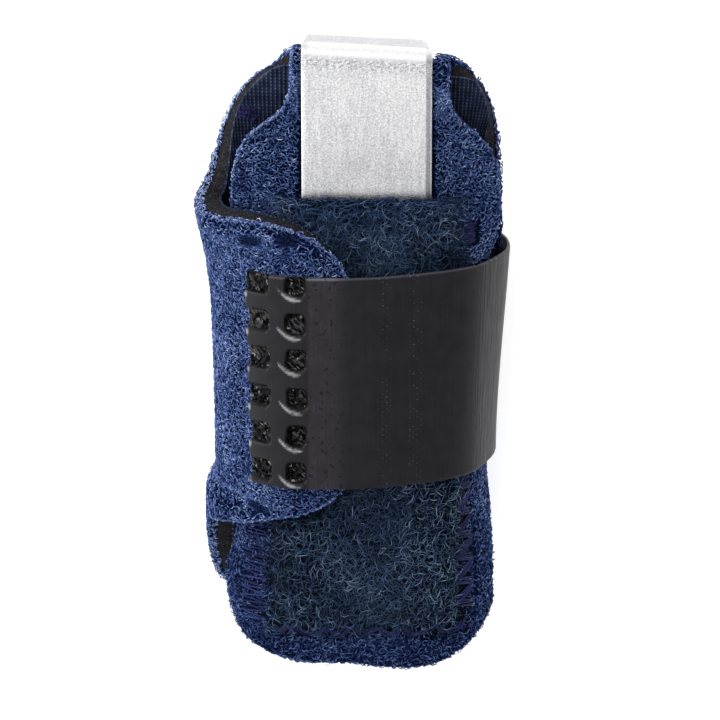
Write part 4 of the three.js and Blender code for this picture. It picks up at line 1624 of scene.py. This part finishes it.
# Threads that lie side by side in each stitch of the right and bottom seams
BUNDLE = (0, 0.24, 0.48, 0.72)
BUNDLE_PITCH = 2.8
LEFT_PITCH = 0.95
TACK_PITCH = 0.34

# Lines of the seams and tacks, as (across, down) from start to end, with the swing to each side of the line
LEFT_LINE = ((-11.8, 55.5), (-11.8, 68.5), (2.0, -0.2))
RIGHT_LINE = ((10.3, 49), (10.3, 66.2), (1.8, 0))
BOTTOM_LINE = ((-9.5, 68.5), (9.7, 68.5), (0, 1.0))
LEFT_TACK_LINE = ((-10.3, 16.9), (-10.3, 18.2), (0.8, 0))
RIGHT_TACK_LINE = ((10.9, 18.9), (10.9, 21.3), (1.15, 0))

# Hue, from blue to purple, and brightest tone of each
SEAM_HUE = 0.35
TACK_HUE = 0.9
LEFT_BRIGHTEST = 0.65
RIGHT_BRIGHTEST = 0.6
BOTTOM_BRIGHTEST = 0.45
LEFT_TACK_BRIGHTEST = 0.9
RIGHT_TACK_BRIGHTEST = 0.8
LINING_TACK_BRIGHTEST = 0.7

# Tack on the lining: place round the girth and down, spread, count of stitches
LINING_TACK_PLACE = (-13.7, 7.4)
LINING_TACK_SPREAD = (0.9, 1.1)
LINING_TACK_COUNT = 26


def bundle(line, step, hue, brightest):
    """A seam of threads side by side, each moved along its line from the one before."""
    start, end, swing = (np.array(part, float) for part in line)
    shifts = [np.array(step) * shift for shift in BUNDLE]
    return [(zigzag(start + shift, end + shift, swing, BUNDLE_PITCH), hue, brightest) for shift in shifts]


SEAMS = [
    (zigzag(*LEFT_LINE, LEFT_PITCH), 0, LEFT_BRIGHTEST),
    *bundle(RIGHT_LINE, (0, 1), SEAM_HUE, RIGHT_BRIGHTEST),
    *bundle(BOTTOM_LINE, (1, 0), SEAM_HUE, BOTTOM_BRIGHTEST),
    (zigzag(*LEFT_TACK_LINE, TACK_PITCH), TACK_HUE, LEFT_TACK_BRIGHTEST),
    (zigzag(*RIGHT_TACK_LINE, TACK_PITCH), TACK_HUE, RIGHT_TACK_BRIGHTEST),
]
LINING_STITCHES = tuft(53, LINING_TACK_PLACE, LINING_TACK_SPREAD, LINING_TACK_COUNT)
LINING_TACK = [(LINING_STITCHES, TACK_HUE, LINING_TACK_BRIGHTEST)]
seam_thread = stitches("seam_thread", 51, SEAMS, front_axes, front_top)


def inside_axes(girth, down):
    place, along, below, up = back_axes(girth, down)
    return place, along, below, -up


def inside_top(girth, down):
    return np.full_like(girth, -LINING_SINK)


stitches("lining_tack", 52, LINING_TACK, inside_axes, inside_top)


# Strips bent from flat grids: the metal stay and the hook strap

def flat_grid(name, columns, rows):
    """A grid primitive, with each vertex's share of the way along and across it."""
    bpy.ops.object.select_all(action="DESELECT")
    bpy.ops.mesh.primitive_grid_add(x_subdivisions=columns, y_subdivisions=rows, size=1)
    piece = bpy.context.active_object
    piece.name = name
    piece.data.name = name
    flat = np.empty(3 * len(piece.data.vertices), np.float32)
    piece.data.vertices.foreach_get("co", flat)
    along, across, _ = flat.reshape(-1, 3).T + 0.5
    return piece, along, across


def place_vertices(piece, points):
    piece.data.vertices.foreach_set("co", in_frame(points).astype(np.float32).ravel())
    piece.data.update()


def lay_pattern(piece, pattern):
    """Gives the piece one UV map, in mm along and across the strip."""
    mesh = piece.data
    corner = np.empty(len(mesh.loops), np.int32)
    mesh.loops.foreach_get("vertex_index", corner)
    mesh.uv_layers[0].name = PATTERN
    mesh.uv_layers[0].uv.foreach_set("vector", pattern[corner].astype(np.float32).ravel())


def apply_modifier(piece, kind, **settings):
    modifier = piece.modifiers.new(kind.title(), kind)
    for key, value in settings.items():
        setattr(modifier, key, value)
    bpy.context.view_layer.objects.active = piece
    bpy.ops.object.modifier_apply(modifier=modifier.name)


def thicken(piece, thickness):
    """Gives a strip its thickness on its outer side, which faces up where the strip begins."""
    outwards = math.copysign(1, piece.data.polygons[0].normal.z)
    apply_modifier(piece, "SOLIDIFY", thickness=thickness * MM, offset=outwards, use_even_offset=False)


def finish_strip(piece, material, node, sharp):
    bpy.ops.object.select_all(action="DESELECT")
    piece.select_set(True)
    bpy.context.view_layer.objects.active = piece
    bpy.ops.object.shade_smooth_by_angle(angle=math.radians(sharp))
    piece.data.materials.append(material)
    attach(piece, "root")
    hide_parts(node)
    return piece


def stay_run():
    """Lengthwise run of the stay on the face towards the sheet: Y, Z, skew."""
    front_face = FRONT_Z + SHEET + STAY_GAP
    back_face = FOLD_Z - FOLD_RADIUS - SHEET * FOLD_PRESS - STAY_GAP
    top = STAY_GAP + STAY_OUT - STAY_BEND
    run = []
    for down in stations([STAY_END, STAY_END - STAY_CORNER, POCKET_TOP, PRESS_REACH], STAY_FRONT_ROWS):
        run.append((-down, front_face, 0))
    turn = np.linspace(0, QUARTER, STAY_TURN_ROWS)
    for rise, out in zip(np.cos(turn), np.sin(turn)):
        run.append((top + STAY_BEND * out, front_face - STAY_BEND * (1 - rise), STAY_SKEW_FRONT))
    for rise, out in zip(-np.sin(turn), np.cos(turn)):
        run.append((top + STAY_BEND * out, back_face + STAY_BEND * (1 + rise), STAY_SKEW_BACK))
    leg = stations([FOLD_TURN + STAY_BEND, STAY_BACK_LEG - STAY_CORNER, STAY_BACK_LEG], STAY_LEG_ROWS)[1:]
    place, _, _, normal = back_axes(np.zeros(len(leg)), leg)
    face = place + normal * (SHEET * press(leg) + STAY_GAP)[:, None]
    for _, y, z in face:
        run.append((y, z, STAY_SKEW_BACK))
    return np.array(run, float)


def press_right_edge(piece, x, half):
    """Lowers the outer face along the strip's right edge, towards the inner face."""
    points = np.empty(3 * len(piece.data.vertices), np.float32)
    piece.data.vertices.foreach_get("co", points)
    first, second = points.reshape(2, -1, 3)
    outer_is_second = second[:, 2].max() > first[:, 2].max()
    outer, inner = (second, first) if outer_is_second else (first, second)
    share = STAY_PRESSED / STAY * np.clip((x - half + PRESSED_WIDTH) / PRESSED_WIDTH, 0, 1)
    outer += (inner - outer) * share[:, None].astype(np.float32)
    piece.data.vertices.foreach_set("co", points)
    piece.data.update()


def metal_stay():
    run = stay_run()
    piece, along, across = flat_grid("stay_strip", len(run) - 1, STAY_COLUMNS)
    row = np.rint(along * (len(run) - 1)).astype(int)
    y, z, skew = run[row].T
    steps = np.hypot(np.diff(run[:, 0]), np.diff(run[:, 1]))
    length = np.append(0, np.cumsum(steps))
    from_end = np.clip(1 - np.minimum(length, length[-1] - length) / STAY_CORNER, 0, 1)
    narrowed = STAY_NARROWING * smooth((length - STAY_END - STAY_BEND) / (1.5 * STAY_BEND))
    half = STAY_WIDTH / 2 - STAY_CORNER * (1 - np.sqrt(1 - from_end ** 2)) - narrowed
    x = (2 * across - 1) * half[row]
    place_vertices(piece, np.stack([x, y - skew * x, z], 1))
    lay_pattern(piece, np.stack([length[row], x], 1))
    bpy.ops.object.mode_set(mode="EDIT")
    bpy.ops.mesh.select_all(action="SELECT")
    bpy.ops.mesh.normals_make_consistent(inside=False)
    bpy.ops.object.mode_set(mode="OBJECT")
    thicken(piece, STAY)
    press_right_edge(piece, x, half[row])
    apply_modifier(
        piece, "BEVEL", width=STAY_EDGE * MM, segments=3, limit_method="ANGLE", angle_limit=math.radians(50))
    return finish_strip(piece, satin_metal, "metal_stay", STAY_SHARP)


metal_stay()


STRAP_COLUMNS = [56, 40]
STRAP_ROWS = 126
STRAP_SHARP = 40
ARC_POINTS = 80
SPAN_POINTS = 40
FLAT_POINTS = 60


def strap_route():
    """Close points of the strap's inner face, seen along the toe, with their lengths and outward normals."""
    flap_centre = np.array([FLAP_BEND - LEFT_SIDE, FLAP_Z - FLAP_BEND])
    over_flap = FLAP_BEND + SHEET + STRAP_OVER_FLAP
    underside = LOWER_BEND + SHEET + STRAP_GAP
    corner = np.array([RIGHT_SIDE - LOWER_BEND, STRAP + underside])

    def arc(centre, radius, start, end):
        angle = np.linspace(start, end, ARC_POINTS)[:, None]
        return centre + radius * np.concatenate([np.cos(angle), np.sin(angle)], 1)

    flap_top = flap_centre + [0, over_flap]
    side = corner + [underside, 0]
    knots = np.array([flap_top, flap_top, *STRAP_SHOULDER, side, side])
    spans = []
    for a, b, c, d in zip(knots, knots[1:], knots[2:], knots[3:]):
        t = np.linspace(0, 1, SPAN_POINTS, endpoint=False)[:, None]
        enter, leave = (c - a) / 2, (d - b) / 2
        spans.append(((2 * b - 2 * c + enter + leave) * t + (3 * c - 3 * b - 2 * enter - leave)) * t * t
                     + enter * t + b)
    flat = np.stack([np.linspace(corner[0], STRAP_END, FLAT_POINTS), np.full(FLAT_POINTS, STRAP)], 1)
    route = np.concatenate([
        arc(flap_centre, over_flap, QUARTER + STRAP_LEFT_ANGLE, QUARTER)[:-1],
        *spans,
        arc(corner, underside, 0, -QUARTER)[:-1],
        flat,
    ])
    length = np.append(0, np.cumsum(np.linalg.norm(np.diff(route, axis=0), axis=1)))
    forward = unit(np.gradient(route, axis=0))
    return route, length, np.stack([-forward[:, 1], forward[:, 0]], 1)


def pit_distance(across, below, half_across):
    """Distance outside a pit's rounded outline, negative inside it."""
    du = np.abs(across) - half_across + PIT_CORNER
    dv = np.abs(below) - PIT_SIZE / 2 + PIT_CORNER
    outside = np.hypot(np.maximum(du, 0), np.maximum(dv, 0))
    return outside + np.minimum(np.maximum(du, dv), 0) - PIT_CORNER


def crescent(across, below):
    """1 along the raised lip, given a painted highlight, that starts beside a pit, at its left, and runs
    under it to its right.
    """
    way = np.clip((LIP_RIGHT - across) / (LIP_RIGHT - LIP_LEFT), 0, 1.2)
    middle = LIP_BOTTOM - (LIP_BOTTOM - LIP_TOP) * way ** LIP_BEND
    from_left = across - LIP_LEFT
    taper = mix(LIP_POINT, 1, smooth((LIP_RIGHT - across) / LIP_TAPER))
    half = (LIP_HALF + LIP_HALF * smooth(from_left / LIP_SWELL)) * taper
    ends = smooth(from_left / LIP_FADE) * smooth((LIP_RIGHT + LIP_FADE / 2 - across) / LIP_FADE)
    return smooth(1.3 - np.abs(below - middle) / half) * ends


def end_lip(along, below):
    """1 in the middle of the small raised spot, given a painted highlight, below a pit at the strap's left
    end.
    """
    place, drop = END_LIP
    half_along, half_below = END_LIP_HALF
    return END_LIP_SHARE * smooth(1.5 - np.hypot((along - place) / half_along, (below - drop) / half_below))


def weld_relief(u, v):
    """Height of the strap's outer face over its plain level, with the shares of pits and of lips, which get a
    painted highlight.
    """
    rng = np.random.default_rng(61)
    relief = np.zeros_like(u)
    pits = np.zeros_like(u)
    lips = np.zeros_like(u)
    for left, right in PIT_COLUMNS:
        for row in range(PIT_ROWS):
            across = u - (left + right) / 2 + rng.normal(0, PIT_JITTER)
            below = v - PIT_FIRST_ROW - row * PIT_PITCH + rng.normal(0, PIT_JITTER)
            turned_across = across + below * rng.normal(0, PIT_TURN)
            distance = pit_distance(turned_across, below, (right - left) / 2)
            sunk = smooth(PIT_BRINK - distance / PIT_WALL)
            floor = smooth(-distance / FLOOR_RAMP)
            crinkle = 1 - 2 * np.abs(patchiness(rng, u, v, CRINKLE_SIZE))
            relief -= sunk * (PIT_DEPTH - CRINKLE * crinkle * floor)
            pits = np.maximum(pits, sunk)
            lip = crescent(across, below) if left > 0 else end_lip(u, below)
            lips = np.maximum(lips, lip * (1 - sunk) * rng.uniform(*LIP_STRENGTHS))
    relief += LIP_HEIGHT * lips
    edge = np.minimum(np.minimum(v, STRAP_WIDTH - v), u)
    return relief - STRAP_ROUND * (1 - smooth(edge / STRAP_ROUND_REACH)) ** 2, pits, lips


def hook_strap():
    route, length, normal = strap_route()
    total = length[-1]
    lengths = stations([0, WELD_ZONE, total], STRAP_COLUMNS)
    piece, along, across = flat_grid("strap_tape", len(lengths) - 1, STRAP_ROWS)
    u = np.interp(along * (len(lengths) - 1), np.arange(len(lengths)), lengths)
    v = (1 - across) * STRAP_WIDTH

    def on_route(height):
        at = np.stack([np.interp(u, length, route[:, k]) for k in range(2)], 1)
        out = unit(np.stack([np.interp(u, length, normal[:, k]) for k in range(2)], 1))
        down = STRAP_TOP - STRAP_RAISED + v
        lining = at[:, 0] - out[:, 0] * (SHEET + STRAP_OVER_FLAP)
        x = draw_in(at[:, 0], down, drawn_wing, drawn_right, lining)
        return np.stack([x + out[:, 0] * height, -down, at[:, 1] + out[:, 1] * height], 1)

    place_vertices(piece, on_route(0))
    lay_pattern(piece, np.stack([u, v], 1))
    thicken(piece, STRAP)
    count = len(u)
    points = np.empty(3 * len(piece.data.vertices), np.float32)
    piece.data.vertices.foreach_get("co", points)
    points = points.reshape(-1, 3)
    relief, pits, lips = weld_relief(u, v)
    from_edge = np.minimum(v, STRAP_WIDTH - v)
    thinned = EDGE_THINNED * (1 - smooth(from_edge / THINNED_REACH)) * smooth(u / WELD_ZONE - 0.5)
    plain = in_frame(on_route(0))
    first_is_inner = np.abs(points[:count] - plain).max() < np.abs(points[count:] - plain).max()
    inner, outer = in_frame(on_route(thinned)), in_frame(on_route(STRAP + relief))
    order = [0, 1] if first_is_inner else [1, 0]
    halves = np.concatenate([[inner, outer][k] for k in order])
    piece.data.vertices.foreach_set("co", halves.astype(np.float32).ravel())
    for name, share in (("pit", pits), ("lip", lips)):
        both = np.concatenate([[0 * share, share][k] for k in order])
        piece.data.attributes.new(name, "FLOAT", "POINT").data.foreach_set("value", both.astype(np.float32))
    piece.data.update()
    return finish_strip(piece, black_tape, "hook_strap", STRAP_SHARP)


hook_strap()


# Stage, light and camera

CAMERA_TILT = math.radians(17)
CAMERA_DISTANCE = 430
CAMERA_TARGET = np.array([-0.76, -37.7, 14])
CAMERA_SCALE = 0.1176
PHOTO_WIDTH = 720
SENSOR = 36

# Floor, a little below the part, and lamps: name, place in metres, size, watts
FLOOR_SIZE = 4
FLOOR_DROP = 0.0002
LAMP_AIM = (0, 0, 0.01)
LAMPS = [
    ("key", (-0.34, 0.30, 0.52), 0.7, 2.2),
    ("rim", (-0.7, 0.1, 0.12), 0.35, 2.5),
]


def add_floor():
    bpy.ops.object.select_all(action="DESELECT")
    bpy.ops.mesh.primitive_plane_add(size=FLOOR_SIZE, location=(0, 0, -FLOOR_DROP))
    floor = bpy.context.active_object
    floor.name = "floor"
    floor.data.materials.append(floor_finish())


def add_light(name, place, size, energy):
    lamp = bpy.data.lights.new(name, "AREA")
    lamp.shape = "DISK"
    lamp.size = size
    lamp.energy = energy
    light = bpy.data.objects.new(name, lamp)
    bpy.context.scene.collection.objects.link(light)
    light.location = place
    aim = Vector(LAMP_AIM) - light.location
    light.rotation_euler = aim.to_track_quat("-Z", "Y").to_euler()


def add_camera():
    view = bpy.data.cameras.new("camera")
    view.sensor_width = SENSOR
    view.lens = CAMERA_DISTANCE / CAMERA_SCALE / PHOTO_WIDTH * SENSOR
    view.clip_start = 0.01
    camera = bpy.data.objects.new("camera", view)
    bpy.context.scene.collection.objects.link(camera)
    axis = np.array([0, math.sin(CAMERA_TILT), math.cos(CAMERA_TILT)])
    camera.location = in_frame(CAMERA_TARGET + CAMERA_DISTANCE * axis)
    camera.rotation_euler = (-CAMERA_TILT, 0, 0)
    bpy.context.scene.camera = camera


def add_world():
    """A pale studio: brightest towards the toe tip, dimmer overhead and to the right."""
    world = bpy.data.worlds.new("studio")
    bpy.context.scene.world = world
    world.use_nodes = True
    tree = world.node_tree
    x, y, _ = Wire(tree, None).node("ShaderNodeTexCoord").parts()
    from_right = x.between(0.15, 0.9)
    from_left = 1 - x.between(-0.9, -0.1)
    strength = 0.92 + 0.5 * y.between(0, 0.55) - 0.3 * from_right + 0.2 * from_left
    tree.links.new(strength.socket, tree.nodes["Background"].inputs["Strength"])
    tree.nodes["Background"].inputs["Color"].default_value = (1, 1, 1, 1)


add_floor()
add_world()
for lamp in LAMPS:
    add_light(*lamp)
add_camera()
bpy.context.scene.view_settings.view_transform = "Standard"
